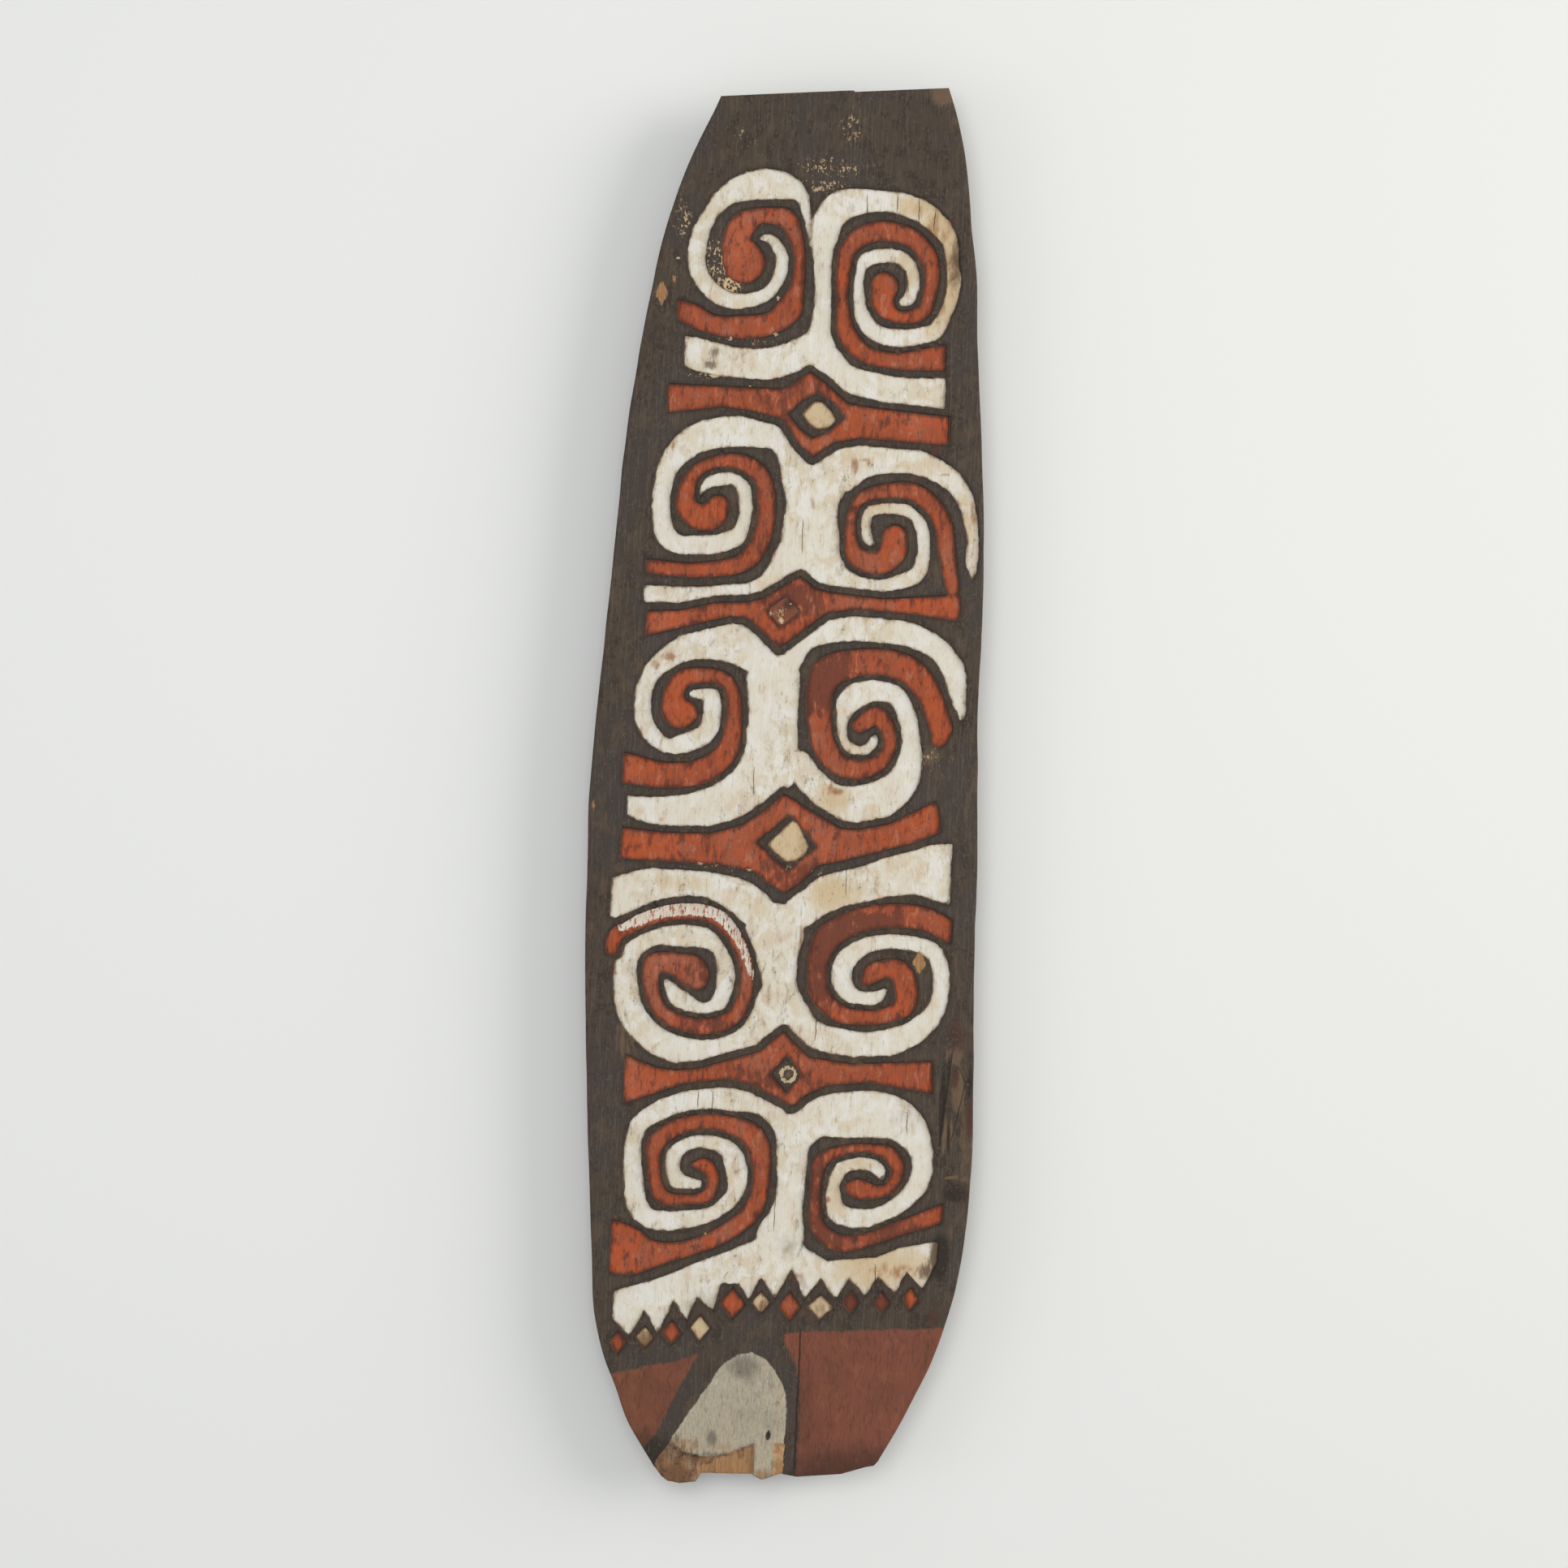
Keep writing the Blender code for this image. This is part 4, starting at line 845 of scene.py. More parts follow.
def buildBack(u, v, edge):
    # the same sheet with half the lines, cut with the adze, raised where the handle grows out;
    # gives the two blocks of points, pulled onto the handle's feet, that are left open
    s, h = shieldSettings, handleSettings
    x, y = coonsGrid(u[::2], v[::2], s["backInset"])
    px, py = x - handlePlace[0], y - handlePlace[1]
    clear = np.clip(-readField(fields["edge"], x, y) / s["adzeClear"], 0.0, 1.0)
    drift = s["adzeDrift"] * latticeNoise(px, py, *markSizes["adzeDrift"])
    cuts = toolCuts(px + drift, py, *markSizes["adze"])
    z = s["handleHeight"] + s["adzeDepth"] * cuts * clear
    z += s["backGrain"] * latticeNoise(px, py, *markSizes["backGrain"])
    z[0], z[-1], z[:, 0], z[:, -1] = [s["handleHeight"] + s["backRim"]] * 4
    pad = np.ones(z.shape)
    for apart, reach in zip((px, py), h["padReach"]):
        pad *= np.clip((reach - abs(apart)) / h["padSlope"], 0.0, 1.0)
    z += (s["handleHeight"] - h["pad"] - z) * pad * pad * (3 - 2 * pad)

    outer, _, inner, _ = h["sections"][0]
    middle = x.shape[1] // 2
    left, right = [int(np.argmin(abs(px[len(px) // 2] - side * 0.5 * h["width"]))) for side in (-1, 1)]
    blocks = []
    closed = np.ones((x.shape[0] - 1, x.shape[1] - 1), bool)
    for low, high in ((-outer, -inner), (inner, outer)):
        first, last = [int(np.argmin(abs(py[:, middle] - end))) for end in (low, high)]
        block = (slice(first, last + 1), slice(left, right + 1))
        x[block] = handlePlace[0] + 0.5 * h["width"] * np.linspace(-1, 1, right - left + 1)[None, :]
        y[block] = handlePlace[1] + np.linspace(low, high, last - first + 1)[:, None]
        closed[first:last, left:right] = False
        blocks.append(block)
    index = addPoints(x, y, z).reshape(x.shape)
    backFaces = gridFaces(index, np.zeros(closed.shape, bool))
    addFaces(backFaces[np.tile(closed.ravel(), 2)][:, ::-1], "back")
    addFaces(halvingFaces(edge, ringOf(index)), "edge")
    return [index[block] for block in blocks]


def buildHandle(firstFoot, lastFoot):
    # a rectangle with rounded corners carried from one foot to the other along the sections
    h = handleSettings
    half = np.asarray(h["sections"], float)
    half = smoothKnots(np.hstack([0.5 * (half[:, :2] + half[:, 2:]), half]), 1.0)[:, 2:]
    half = half[np.linspace(0, len(half) - 1, h["steps"]).round().astype(int)]
    profile = np.vstack([half * (-1, 1, -1, 1), half[-2::-1]])

    # the ring round a foot as shares of its half width and half depth, then doubled
    rows, columns = firstFoot.shape
    a, b = np.meshgrid(np.linspace(-1, 1, columns), np.linspace(1, -1, rows))
    ring = ringOf(np.arange(rows * columns).reshape(rows, columns))
    a, b = a.ravel()[ring], b.ravel()[ring]
    a = np.stack([a, 0.5 * (a + np.roll(a, -1))], -1).ravel()
    b = np.stack([b, 0.5 * (b + np.roll(b, -1))], -1).ravel()

    previous = ringOf(firstFoot)
    for k in range(1, len(profile) - 1):
        yOuter, zOuter, yInner, zInner = profile[k]
        share = abs(2 * k / (len(profile) - 1) - 1)
        halfWide = 0.5 * (h["gripWidth"] + (h["width"] - h["gripWidth"]) * share**2)
        halfDeep = 0.5 * math.hypot(yOuter - yInner, zOuter - zInner)
        corner = h["corner"] * min(1.0, k / h["cornerStart"], (len(profile) - 1 - k) / h["cornerStart"])
        wide, deep = roundedSection(a * halfWide, b * halfDeep, halfWide, halfDeep, corner)
        askew = h["skew"][0] * a + h["skew"][1] * b, h["skew"][2] * k + 0 * a
        wide = wide + h["rough"] * latticeNoise(*askew, *markSizes["handle"])
        y = 0.5 * (yOuter + yInner) + deep * (yOuter - yInner) / (2 * halfDeep)
        z = 0.5 * (zOuter + zInner) + deep * (zOuter - zInner) / (2 * halfDeep)
        current = addPoints(handlePlace[0] + wide, handlePlace[1] + y, np.maximum(z, 0.0))
        joined = halvingFaces(current, previous, True) if k == 1 else ringFaces(previous, current)
        addFaces(joined, "handle")
        previous = current
    addFaces(halvingFaces(previous, ringOf(lastFoot[::-1])), "handle")


# The handle stands where the CAD node's flat face rests.
resting = np.array([v.co[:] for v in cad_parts["shield"].data.vertices if v.co.z < 0.5 * mm]) / mm
handlePlace = drawMiddle + 0.5 * (resting.min(axis=0) + resting.max(axis=0))[:2]

lineU = spacedShares(shieldSettings["columns"], shieldSettings["closeColumns"])
lineV = spacedShares(shieldSettings["rows"], shieldSettings["closeRows"])
faceIndex, faceRim = buildFace(lineU, lineV)
print("painted face shaped")
buildHandle(*buildBack(lineU, lineV, buildEdge(faceIndex, faceRim)))
usedPoints, faces = np.unique(np.concatenate(made["faces"]), return_inverse=True)
points = np.concatenate(made["points"])[usedPoints]
faces = faces.reshape(-1, 3)
faceParts = np.concatenate(made["parts"])
print(f"shield shaped: {len(points)} points, {len(faces)} triangles")


# The drawn shapes whose distances the materials read.
paintedShapes = [
    "white", "red", "redSmall", "tan", "ground", "dome", "split", "bare", "lost", "pale", "edge", "carved",
]


def crackLines(x, y):
    # distance across the nearest crack in its own widths, and how fully it is open there
    c = crackSettings
    side, openness = np.full(x.shape, c["farSide"]), np.zeros(x.shape)
    for topX, topY, lowX, lowY, width in cracks:
        share = (topY - y) / (topY - lowY)
        wander = c["wander"] * latticeNoise(y, y, *c["wanderSize"], int(abs(topX)))
        middle = topX + (lowX - topX) * share + wander
        near = np.clip((c["reach"] - abs(x - middle)) / c["fade"], 0.0, 1.0)
        here = near * np.clip(np.minimum(share, 1 - share) * (topY - lowY) / c["taper"], 0.0, 1.0)
        side = np.where(here > openness, np.clip((x - middle) / width, -c["farSide"], c["farSide"]), side)
        openness = np.maximum(openness, here)
    return side, openness


def pointValues(x, y, onFace):
    # what the materials read at each point: distances to the painted shapes, cracks, patches
    side, openness = crackLines(x, y)
    values = {name: readField(fields[name], x, y) for name in paintedShapes}
    values |= {name: softPatches(patches, x, y) for name, patches in softSpots.items()}
    values |= {"crackSide": side, "crackOpen": openness, "onFace": onFace}
    return values


def makeMesh(name):
    # the points, moved so that the drawing's middle is the origin, with their triangles, sharp
    # edges and the values that the materials read; the back and the handle are left unpainted
    mesh = bpy.data.meshes.new(name)
    placed = (points - (drawMiddle[0], drawMiddle[1], 0.0)) * mm
    mesh.vertices.add(len(placed))
    mesh.vertices.foreach_set("co", placed.astype(np.float32).ravel())
    mesh.loops.add(faces.size)
    mesh.loops.foreach_set("vertex_index", faces.astype(np.int32).ravel())
    mesh.polygons.add(len(faces))
    mesh.polygons.foreach_set("loop_start", np.arange(0, faces.size, 3, dtype=np.int32))
    unpainted = faceParts >= partNames.index("back")
    mesh.polygons.foreach_set("material_index", unpainted.astype(np.int32))
    mesh.update(calc_edges=True)
    mesh.validate()
    mesh.shade_smooth()
    mesh.set_sharp_from_angle(angle=math.radians(shieldSettings["sharpAngle"]))
    onFace = (np.arange(len(points)) < faceIndex.size).astype(float)
    for key, value in pointValues(points[:, 0], points[:, 1], onFace).items():
        mesh.attributes.new(key, "FLOAT", "POINT").data.foreach_set("value", value.astype(np.float32))
    return mesh


def colourOf(hexCode):
    # sRGB hex to the linear colour that a shader takes
    parts = [int(hexCode[i:i + 2], 16) / 255 for i in (1, 3, 5)]
    return [c / 12.92 if c <= 0.04045 else ((c + 0.055) / 1.055) ** 2.4 for c in parts] + [1.0]


def addNode(tree, kind, inputs=None, out=0, **settings):
    # adds a node, sets its settings, then fills or links its inputs, by name, or by number
    # where names repeat; gives one of its outputs
    node = tree.nodes.new(kind)
    for name, value in settings.items():
        setattr(node, name, value)
    for socket, value in (inputs or {}).items():
        if isinstance(value, bpy.types.NodeSocket):
            tree.links.new(value, node.inputs[socket])
        else:
            node.inputs[socket].default_value = value
    return node.outputs[out] if len(node.outputs) else node


def startMaterial(name, roughness, specular):
    # an empty material with its Principled BSDF; gives the tree and the shader node
    material = bpy.data.materials.new(name)
    material.use_nodes = True
    tree = material.node_tree
    tree.nodes.clear()
    shader = tree.nodes.new("ShaderNodeBsdfPrincipled")
    shader.inputs["Roughness"].default_value = roughness
    shader.inputs["Specular IOR Level"].default_value = specular
    addNode(tree, "ShaderNodeOutputMaterial", {"Surface": shader.outputs[0]})
    return material, tree, shader


def addNoises(tree, kinds):
    # noise textures on Object coordinates, one for each row: its size across the grain and
    # along it in mm, detail, roughness and distortion
    place = addNode(tree, "ShaderNodeTexCoord", out="Object")
    sources = {}
    for name, (across, along, detail, rough, twist) in kinds.items():
        scaled = addNode(tree, "ShaderNodeMapping", {
            "Vector": place, "Scale": (1 / (across * mm), 1 / (along * mm), 1 / (across * mm)),
            "Location": [shift * len(sources) for shift in noiseShift],
        })
        sources[name] = addNode(tree, "ShaderNodeTexNoise", {
            "Vector": scaled, "Scale": 1.0, "Detail": detail, "Roughness": rough, "Distortion": twist,
        })
    return sources


def addMasks(tree, sources, rows):
    # each mask is a smooth step, from low to high, of a weighted sum of the sources made so
    # far, as high as its strength, and times any masks it stays within
    for name, (terms, low, high, strength, *within) in rows.items():
        total = 0.0
        for source, weight in terms.items():
            total = addNode(tree, "ShaderNodeMath", {0: sources[source], 1: weight, 2: total},
                            operation="MULTIPLY_ADD")
        mask = addNode(tree, "ShaderNodeMapRange", {
            "Value": total, "From Min": low, "From Max": high, "To Max": strength,
        }, interpolation_type="SMOOTHSTEP")
        for other in within:
            mask = addNode(tree, "ShaderNodeMath", {0: mask, 1: sources[other]}, operation="MULTIPLY")
        sources[name] = mask


def layWashes(tree, sources, washes):
    # in each wash, lays each colour over the ones before it, as far as its mask says
    laid = {}
    for name, (under, layers) in washes.items():
        colour = colourOf(paintColours[under])
        for mask, above in layers.items():
            above = laid[above] if above in laid else colourOf(paintColours[above])
            colour = addNode(tree, "ShaderNodeMix", {0: sources[mask], 6: colour, 7: above}, out=2,
                             data_type="RGBA")
        laid[name] = colour
    return laid


def linkFinish(tree, shader, sources, colour, bump, roughness):
    # gives the shader its colour, a bump of the mask "height" with its strength and depth, and a
    # roughness that the mask "dryness" takes from its lowest to its highest
    tree.links.new(colour, shader.inputs["Base Color"])
    height = {"Height": sources["height"], "Strength": bump[0], "Distance": bump[1]}
    tree.links.new(addNode(tree, "ShaderNodeBump", height), shader.inputs["Normal"])
    dryness = {"Value": sources["dryness"], "To Min": roughness[0], "To Max": roughness[1]}
    tree.links.new(addNode(tree, "ShaderNodeMapRange", dryness), shader.inputs["Roughness"])


noiseShift = (3.7, 1.9, 0.0)  # of each noise against the one before, in its own cells
# Noise of the painted face: size across the grain and along it, mm, detail, roughness, distortion.
faceNoises = {
    "ragged": (3.2, 4.4, 2.0, 0.6, 0.0),  # frayed edge of the paint, pores
    "wander": (9.0, 13.0, 1.0, 0.45, 0.3),  # hand-drawn drift of that edge
    "grain": (2.0, 60.0, 3.0, 0.6, 0.5),  # wood grain, drawn twice as coarse as it is
    "ticks": (2.3, 12.0, 2.0, 0.6, 0.2),  # short checks where the brush crossed the grain
    "smear": (8.0, 24.0, 4.0, 0.62, 0.6),
    "mottle": (17.0, 22.0, 5.0, 0.66, 0.4),
    "stain": (26.0, 38.0, 4.0, 0.62, 0.6),
    "cloud": (90.0, 130.0, 2.0, 0.5, 0.2),
    "fleck": (3.2, 4.6, 2.0, 0.75, 0.0),
}
netScale = (300.0, 240.0, 300.0)  # crackle net of the dome, cells in a metre: 3.3 by 4.2 mm
netWarp = (1.3, 0.35)  # scale of the noise that bends the net, and how much of it there is
edgeDrift = {"wander": 3.8, "ragged": 1.0}  # about 1 mm to either side, and 2.4 on average
# Masks of the painted face: the sum of sources, where it starts and is full, strength, within.
faceMasks = {
    "sootDark": ({"mottle": 1.0}, 0.46, 0.60, 0.65),
    "sootBrown": ({"stain": 1.0, "smear": 0.6}, 0.82, 1.00, 0.28),
    "sootPurple": ({"cloud": 1.0, "stain": -0.7}, 0.08, 0.28, 0.9),
    "sootGrain": ({"grain": 1.0, "ticks": 0.6}, 0.78, 1.00, 0.6),
    "sootRubbed": ({"worn": 0.8, "smear": 0.8, "grain": 0.5}, 0.84, 1.22, 0.9),
    "sootFlecks": ({"flecks": 0.25, "fleck": 1.0, "smear": 0.5}, 1.00, 1.08, 0.85, "flecks"),
    "sootSpecks": ({"fleck": 1.0, "mottle": 0.6}, 0.86, 1.02, 0.7),
    "rimWorn": ({"edge": 0.22, "smear": 2.2, "ticks": 0.8}, 1.15, 1.9, 0.8),
    # brown on the black along the carved edges: rubbed paint, and a painted highlight on the ridges
    "ridgeRubbedAndHighlit": ({"carved": -0.16, "smear": 1.0, "stain": 0.8}, 0.55, 0.95, 0.35),
    "whitePaint": ({"white": 1.0, **edgeDrift}, 3.1, 1.7, 1.0, "onFace"),
    "creamSpread": ({"cream": 1.0, "mottle": 0.9, "smear": 0.5, "ticks": 0.4}, 1.0, 2.2, 0.95),
    "creamBlotch": ({"mottle": 1.0, "cloud": 0.5}, 0.74, 0.88, 0.45),
    "pinkBlotch": ({"stain": 1.0, "smear": 0.5}, 0.78, 0.96, 0.3),
    "paleBlotch": ({"stain": -1.0, "mottle": -0.6}, -0.82, -0.66, 0.7),
    "greySmudge": ({"smear": 1.0, "cloud": 0.5}, 0.82, 0.98, 0.3),
    "greySpread": ({"grey": 1.0, "mottle": 0.9, "smear": 0.5}, 0.80, 1.75, 0.9),
    "limeStreaks": ({"ticks": 1.0, "smear": 0.7}, 0.94, 1.18, 0.55),
    "limeSpecks": ({"fleck": 1.0, "smear": 0.7, "cloud": 0.4}, 1.24, 1.34, 0.5),
    # brown towards the edges of the sunk white fields: dirt, and painted shade of their walls
    "limeRimDirtAndShade": ({"white": 1.0, "smear": 8.0, "ragged": 2.0, "wander": 3.0}, 3.4, 8.4, 0.85),
    "redPaint": ({"red": 1.0, **edgeDrift}, 3.1, 1.7, 1.0, "onFace"),
    "redSmallPaint": ({"redSmall": 1.0, **edgeDrift}, 2.8, 1.6, 1.0, "onFace"),
    "rustStain": ({"rust": 1.0, "smear": 1.4, "mottle": 1.0}, 1.40, 2.2, 0.85),
    # soot and grime, and painted shade in the split, the dips and under the broken step, from the spots
    # above
    "grimeAndShadeSpread": ({"grimeAndShade": 1.0, "smear": 0.8, "mottle": 0.8, "ticks": 0.5}, 1.2, 2.0, 0.95),
    "woodStain": ({"mottle": 1.0, "smear": -0.6}, 0.16, 0.32, 0.7),
    # painted shade: the black darkens beside the carved fields, down their walls and over the narrow ridges
    # between them
    "ridgePaintedShade": ({"carved": -0.12, "mottle": 0.6}, -0.50, 0.10, 0.5),
    "ochreLight": ({"bright": 0.26, "mottle": 1.0}, 0.47, 0.62, 0.95),
    "ochreDark": ({"deep": 0.32, "mottle": 0.7, "smear": 0.8}, 0.75, 0.94, 0.95),
    "ochreDust": ({"cloud": 0.7, "stain": 0.6, "smear": 0.6}, 0.92, 1.14, 0.10),
    "ochreTicks": ({"ticks": 1.0, "smear": 0.6}, 0.80, 1.12, 0.55),
    "ochreScuff": ({"smear": -1.0, "mottle": -0.8}, -0.82, -0.70, 0.85),
    "ochreSoot": ({"fleck": 1.0, "smear": 0.6}, 0.92, 1.08, 0.55),
    # painted shade: the red darkens over its last few mm towards the walls of its sunk fields
    "ochreRimShade": ({"redEdge": 1.0, "smear": 8.0, "wander": 4.0}, 0.2, 7.2, 0.9),
    # painted highlight: a lighter line of red along the edges of the red fields, where their walls catch
    # the light
    "ochreLipHighlight": ({"redEdge": 0.25, "wander": 1.0, "stain": 1.2}, 1.10, 1.45, 0.7),
    "ochreThin": ({"fleck": 1.0, "ticks": 0.7}, 1.06, 1.18, 0.5),
    "tanPaint": ({"tan": 1.0, **edgeDrift}, 2.8, 1.4, 1.0, "onFace"),
    "tanRim": ({"tan": 1.0, "smear": 4.0}, -1.4, 2.2, 0.85),
    "groundPaint": ({"ground": 1.0, "wander": 6.0, "smear": 5.0, "ragged": 3.0}, 9.0, 5.0, 1.0, "onFace"),
    "groundLight": ({"bright": 0.3, "mottle": 1.0, "smear": 0.5}, 0.68, 0.92, 0.7),
    "groundShade": ({"cloud": 1.0, "stain": 0.8}, 0.82, 1.10, 0.6),
    "groundGrain": ({"ticks": 1.0, "smear": 0.8}, 0.84, 1.16, 0.5),
    "groundDark": ({"grimeAndShade": 1.0, "mottle": 1.2, "smear": 0.8}, 1.15, 2.1, 0.95),
    "domePaint": ({"dome": 1.0, "wander": 4.0, "ragged": 3.0}, 4.6, 2.6, 1.0, "onFace"),
    "domeLight": ({"smear": 0.7, "mottle": 0.7, "cloud": 0.4}, 0.84, 1.16, 0.45),
    "domeNet": ({"net": 1.0, "ragged": 0.20, "smear": 0.30}, 0.36, 0.20, 0.25),
    "domeStain": ({"mottle": 1.0, "smear": 0.6}, 0.74, 0.98, 0.5),
    "splitWood": ({"split": 1.0, "smear": 9.0, "ticks": 5.0}, 8.0, 6.4, 1.0, "onFace"),
    "bareWoodShown": ({"bare": 1.0, "ticks": 6.0, "ragged": 3.0}, 5.4, 4.2, 1.0, "onFace"),
    "woodDark": ({"mottle": 1.0, "smear": 0.9, "ragged": 0.3}, 1.04, 1.30, 0.85),
    "woodGrain": ({"grain": 1.0, "ticks": 0.7, "mottle": 0.8}, 1.12, 1.50, 0.5),
    "flaked": ({"lost": 1.0, "ticks": 7.0, "fleck": 7.0}, 8.2, 6.8, 0.95, "redPaint"),
    "flakeGap": ({"ticks": 1.0, "smear": 0.5, "fleck": 0.4}, 1.00, 1.10, 0.9),
    "paleSpot": ({"pale": 1.0, "fleck": 4.0, "ragged": 2.0}, 3.8, 2.8, 0.85, "onFace"),
    "crackLine": ({"crackAway": 1.0, "ragged": 0.9}, 1.35, 0.75, 0.9, "crackOpen", "onFace"),
    "height": (
        {"grain": 1.0, "ticks": 0.5, "ragged": 0.5, "smear": 0.6, "crackLine": -2.0}, -1.5, 2.5, 1.0,
    ),
    "dryness": ({"mottle": 0.5, "ragged": 0.5}, 0.2, 0.9, 1.0),
}
# Washes laid up in layers: the colour underneath, then each mask with the colour, or the wash
# above it in this list, that it lays on.
faceLayers = {
    "limeWash": ("lime", {
        "paleBlotch": "limePale", "creamBlotch": "limeCream", "pinkBlotch": "limePink",
        "greySmudge": "limeGrey", "creamSpread": "limeCream", "greySpread": "limeGrey",
        "rustStain": "rust", "limeStreaks": "limeShade", "limeRimDirtAndShade": "limeBrown",
        "grimeAndShadeSpread": "sootWorn", "limeSpecks": "sootWorn",
    }),
    "flakedLime": ("lime", {
        "creamBlotch": "limePink", "pinkBlotch": "limePink", "flakeGap": "ochre",
    }),
    "redOchre": ("ochre", {
        "ochreLight": "ochreBright", "ochreScuff": "ochrePale", "ochreDust": "limePink",
        "ochreDark": "ochreDeep", "ochreTicks": "ochreShade", "ochreSoot": "sootDeep",
        "ochreRimShade": "ochreShade", "ochreLipHighlight": "earthLight", "ochreThin": "bareWood",
    }),
    "brokenWood": ("bareWood", {
        "woodStain": "limeGrey", "woodDark": "bareWoodDark", "woodGrain": "bareWoodDark",
        "grimeAndShadeSpread": "bareWoodDark", "ochreTicks": "sootWorn", "sootSpecks": "sootDeep",
    }),
    "chippedWood": ("freshWood", {
        "woodGrain": "bareWoodDark", "creamBlotch": "bareWoodPale",
    }),
    "tanWash": ("limeCream", {
        "creamBlotch": "bareWood", "rustStain": "bareWoodDark", "ochreTicks": "limeBrown",
        "tanRim": "bareWoodDark",
    }),
    "earthWash": ("earth", {
        "groundLight": "earthLight", "groundShade": "earthShade", "groundGrain": "earthDark",
        "groundDark": "earthDark",
    }),
    "domeWash": ("dome", {
        "domeStain": "domeGrey", "domeLight": "lime", "groundGrain": "domeDark", "domeNet": "domeDark",
        "rustStain": "bareWood", "greySpread": "domeDark", "limeSpecks": "soot",
        "grimeAndShadeSpread": "sootDeep",
    }),
    "wholeFace": ("soot", {
        "sootDark": "sootDeep", "sootPurple": "sootCool", "sootBrown": "sootWorn",
        "sootGrain": "sootPale", "ridgePaintedShade": "sootDeep", "ridgeRubbedAndHighlit": "sootWorn",
        "sootRubbed": "sootWorn", "rustStain": "earthDark", "grimeAndShadeSpread": "sootDeep",
        "sootSpecks": "sootPale", "groundPaint": "earthWash", "sootFlecks": "bareWoodPale",
        "domePaint": "domeWash", "rimWorn": "sootWorn", "whitePaint": "limeWash", "redPaint": "redOchre",
        "redSmallPaint": "redOchre", "tanPaint": "tanWash", "flaked": "flakedLime",
        "splitWood": "brokenWood", "bareWoodShown": "chippedWood", "paleSpot": "limeCream",
        "crackLine": "sootDeep",
    }),
}


def makePaintedFace():
    # Earth pigments rubbed dry onto carved hardwood: soot on the ground and ridges, burnt lime in
    # the scrolls and red ochre between them. Chalky and matt, streaked along the grain, ragged
    # where it meets the cut edges, with bare wood in the chips.
    material, tree, shader = startMaterial("earthPaintOnHardwood", roughness=0.86, specular=0.28)
    sources = addNoises(tree, faceNoises)
    for name in [*paintedShapes, *softSpots, "crackSide", "crackOpen", "onFace"]:
        sources[name] = addNode(tree, "ShaderNodeAttribute", out="Fac", attribute_name=name)
    sources["crackAway"] = addNode(tree, "ShaderNodeMath", {0: sources["crackSide"]}, operation="ABSOLUTE")
    sources["redEdge"] = addNode(tree, "ShaderNodeMath", {0: sources["red"], 1: sources["redSmall"]},
                                 operation="MINIMUM")
    place = addNode(tree, "ShaderNodeTexCoord", out="Object")
    place = addNode(tree, "ShaderNodeMapping", {"Vector": place, "Scale": netScale})
    warp = addNode(tree, "ShaderNodeTexNoise", {"Vector": place, "Scale": netWarp[0], "Detail": 2.0}, out=1)
    place = addNode(tree, "ShaderNodeMix", {0: netWarp[1], 4: place, 5: warp}, out=1, data_type="VECTOR")
    sources["net"] = addNode(tree, "ShaderNodeTexVoronoi", {"Vector": place, "Scale": 1.0},
                             feature="DISTANCE_TO_EDGE")
    addMasks(tree, sources, faceMasks)
    colour = layWashes(tree, sources, faceLayers)["wholeFace"]
    linkFinish(tree, shader, sources, colour, bump=(0.7, 2.4 * mm), roughness=(0.74, 0.95))
    return material


woodNoises = {
    "grain": (1.8, 70.0, 4.0, 0.6, 0.6),  # drawn twice as coarse as it is
    "rays": (3.0, 18.0, 2.0, 0.6, 0.2),
    "mottle": (30.0, 60.0, 4.0, 0.6, 0.4),
    "smoke": (120.0, 180.0, 3.0, 0.55, 0.3),
    "pores": (1.6, 5.0, 2.0, 0.7, 0.0),
}
woodMasks = {
    "darkGrain": ({"grain": 1.0, "rays": 0.4}, 0.6, 0.9, 0.75),
    "paleGrain": ({"grain": -1.0, "mottle": 0.7}, -0.28, 0.05, 0.5),
    "smoked": ({"smoke": 1.0, "mottle": 0.5}, 0.6, 1.0, 0.8),
    "poreDark": ({"pores": 1.0, "rays": 0.3}, 0.78, 0.9, 0.6),
    "height": ({"grain": 1.0, "pores": 0.7, "rays": 0.4}, 0.0, 2.1, 1.0),
    "dryness": ({"mottle": 0.6, "pores": 0.4}, 0.2, 0.8, 1.0),
}
woodLayers = {
    "smokedWood": ("agedWood", {
        "paleGrain": "agedWoodPale", "darkGrain": "agedWoodDark", "smoked": "sootDeep",
        "poreDark": "sootDeep",
    }),
}


def makeHewnWood():
    # Bare hardwood smoked by the hearth: adze-cut, dark brown, with a dull polish.
    material, tree, shader = startMaterial("smokedHewnHardwood", roughness=0.7, specular=0.35)
    sources = addNoises(tree, woodNoises)
    addMasks(tree, sources, woodMasks)
    colour = layWashes(tree, sources, woodLayers)["smokedWood"]
    linkFinish(tree, shader, sources, colour, bump=(0.6, 1.2 * mm), roughness=(0.58, 0.82))
    return material


shieldMesh = makeMesh("carvedShield")
carvedShield = bpy.data.objects.new("carvedShield", shieldMesh)
bpy.context.scene.collection.objects.link(carvedShield)
for finish in (makePaintedFace(), makeHewnWood()):
    shieldMesh.materials.append(finish)
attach(carvedShield, "root")
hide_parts("shield")
print("shield placed and painted")

# Floor, lights and camera.
studioSettings = {
    "floorColour": "#e7e9e8",
    "floorSize": 30.0,  # m
    "cameraHeight": 4.2,  # above the painted face, m
    "viewMiddle": (-7.1, 0.4),  # point of the shield under the camera, mm
    "viewTurn": 2.786,  # camera turned about the vertical, degrees
    "viewWidth": 1948.6,  # breadth seen at the painted face, mm
    "sensor": 36.0,  # mm
    "worldColour": "#f4f4f2",
    "worldGlow": 0.47,
}
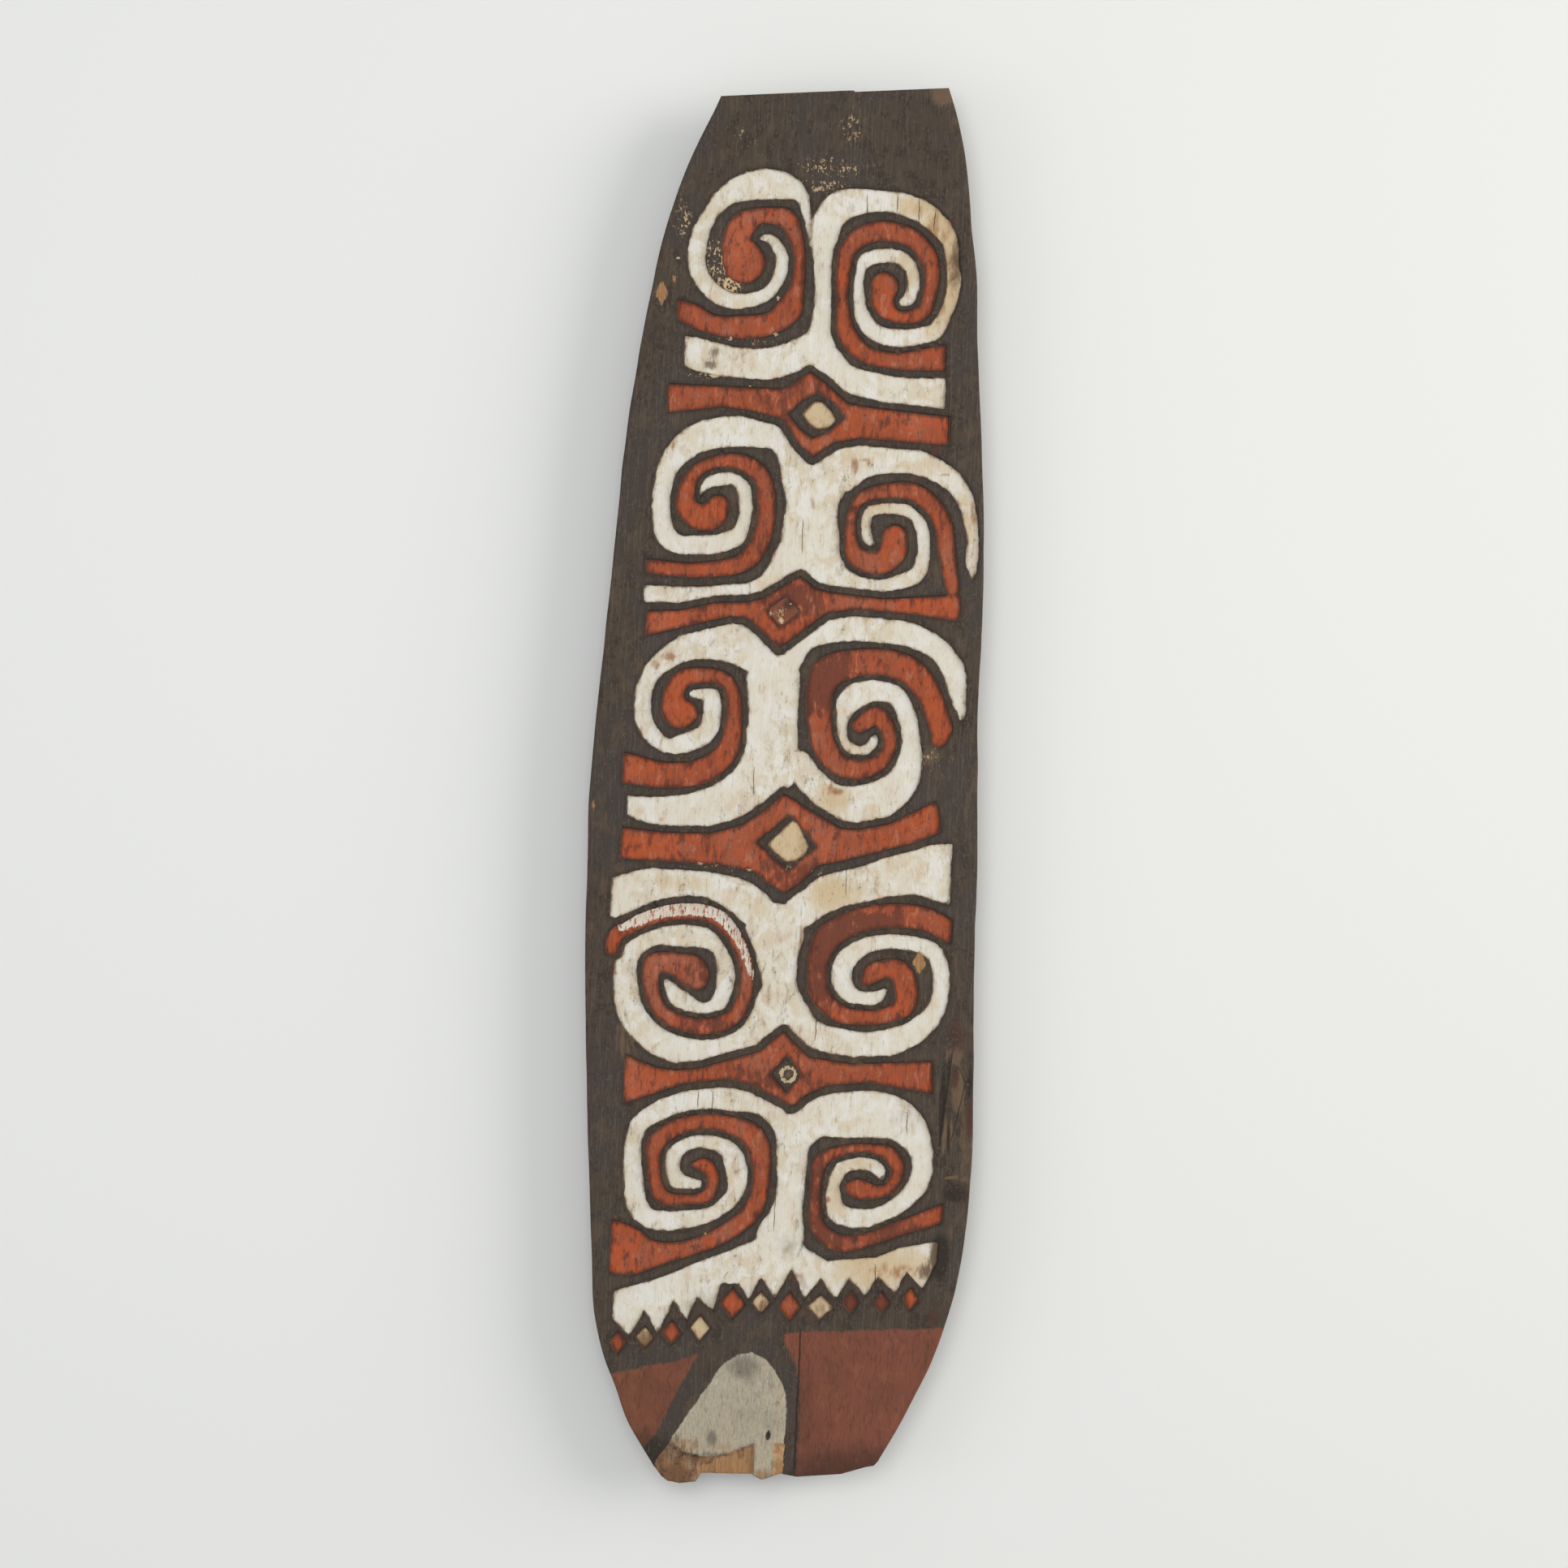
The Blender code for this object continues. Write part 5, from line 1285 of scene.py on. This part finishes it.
# Lights: place and size in m, power in W, colour.
lightSettings = {
    "keyLight": ((6.6, 1.7, 3.3), 4.8, 350.0, "#fffaf3"),
    "topLight": ((-0.6, 0.8, 5.2), 3.0, 92.0, "#ffffff"),
    "fillLight": ((-5.0, -0.6, 3.0), 3.0, 40.0, "#f9faff"),
}


def makeFloor():
    # one flat square at the height that the handle rests on
    half = 0.5 * studioSettings["floorSize"]
    mesh = bpy.data.meshes.new("studioFloor")
    corners = [(-half, -half, 0), (half, -half, 0), (half, half, 0), (-half, half, 0)]
    mesh.from_pydata(corners, [], [(0, 1, 2, 3)])
    material, tree, shader = startMaterial("matteBackdrop", roughness=0.95, specular=0.1)
    shader.inputs["Base Color"].default_value = colourOf(studioSettings["floorColour"])
    mesh.materials.append(material)
    floor = bpy.data.objects.new("studioFloor", mesh)
    bpy.context.scene.collection.objects.link(floor)


def makeLights():
    # round area lights that face the shield, and an even glow from all round
    for name, (place, size, power, colour) in lightSettings.items():
        light = bpy.data.lights.new(name, "AREA")
        light.shape, light.size, light.energy = "DISK", size, power
        light.color = colourOf(colour)[:3]
        lamp = bpy.data.objects.new(name, light)
        lamp.location = place
        lamp.rotation_euler = (-Vector(place)).to_track_quat("-Z", "Y").to_euler()
        bpy.context.scene.collection.objects.link(lamp)
    world = bpy.data.worlds.new("paleStudio")
    world.use_nodes = True
    glow = world.node_tree.nodes["Background"]
    glow.inputs["Color"].default_value = colourOf(studioSettings["worldColour"])
    glow.inputs["Strength"].default_value = studioSettings["worldGlow"]
    bpy.context.scene.world = world


def makeCamera():
    # straight above the face; its lens takes in the breadth to be seen at that distance
    s = studioSettings
    camera = bpy.data.cameras.new("overheadCamera")
    camera.sensor_width = s["sensor"]
    camera.lens = s["sensor"] * s["cameraHeight"] / (s["viewWidth"] * mm)
    holder = bpy.data.objects.new("overheadCamera", camera)
    face = shieldSettings["handleHeight"] + shieldSettings["boardEdge"]
    holder.location = (s["viewMiddle"][0] * mm, s["viewMiddle"][1] * mm, s["cameraHeight"] + face * mm)
    holder.rotation_euler = (0.0, 0.0, math.radians(s["viewTurn"]))
    bpy.context.scene.collection.objects.link(holder)
    bpy.context.scene.camera = holder


makeFloor()
makeLights()
makeCamera()
bpy.context.scene.view_settings.view_transform = "Standard"
print("studio ready")
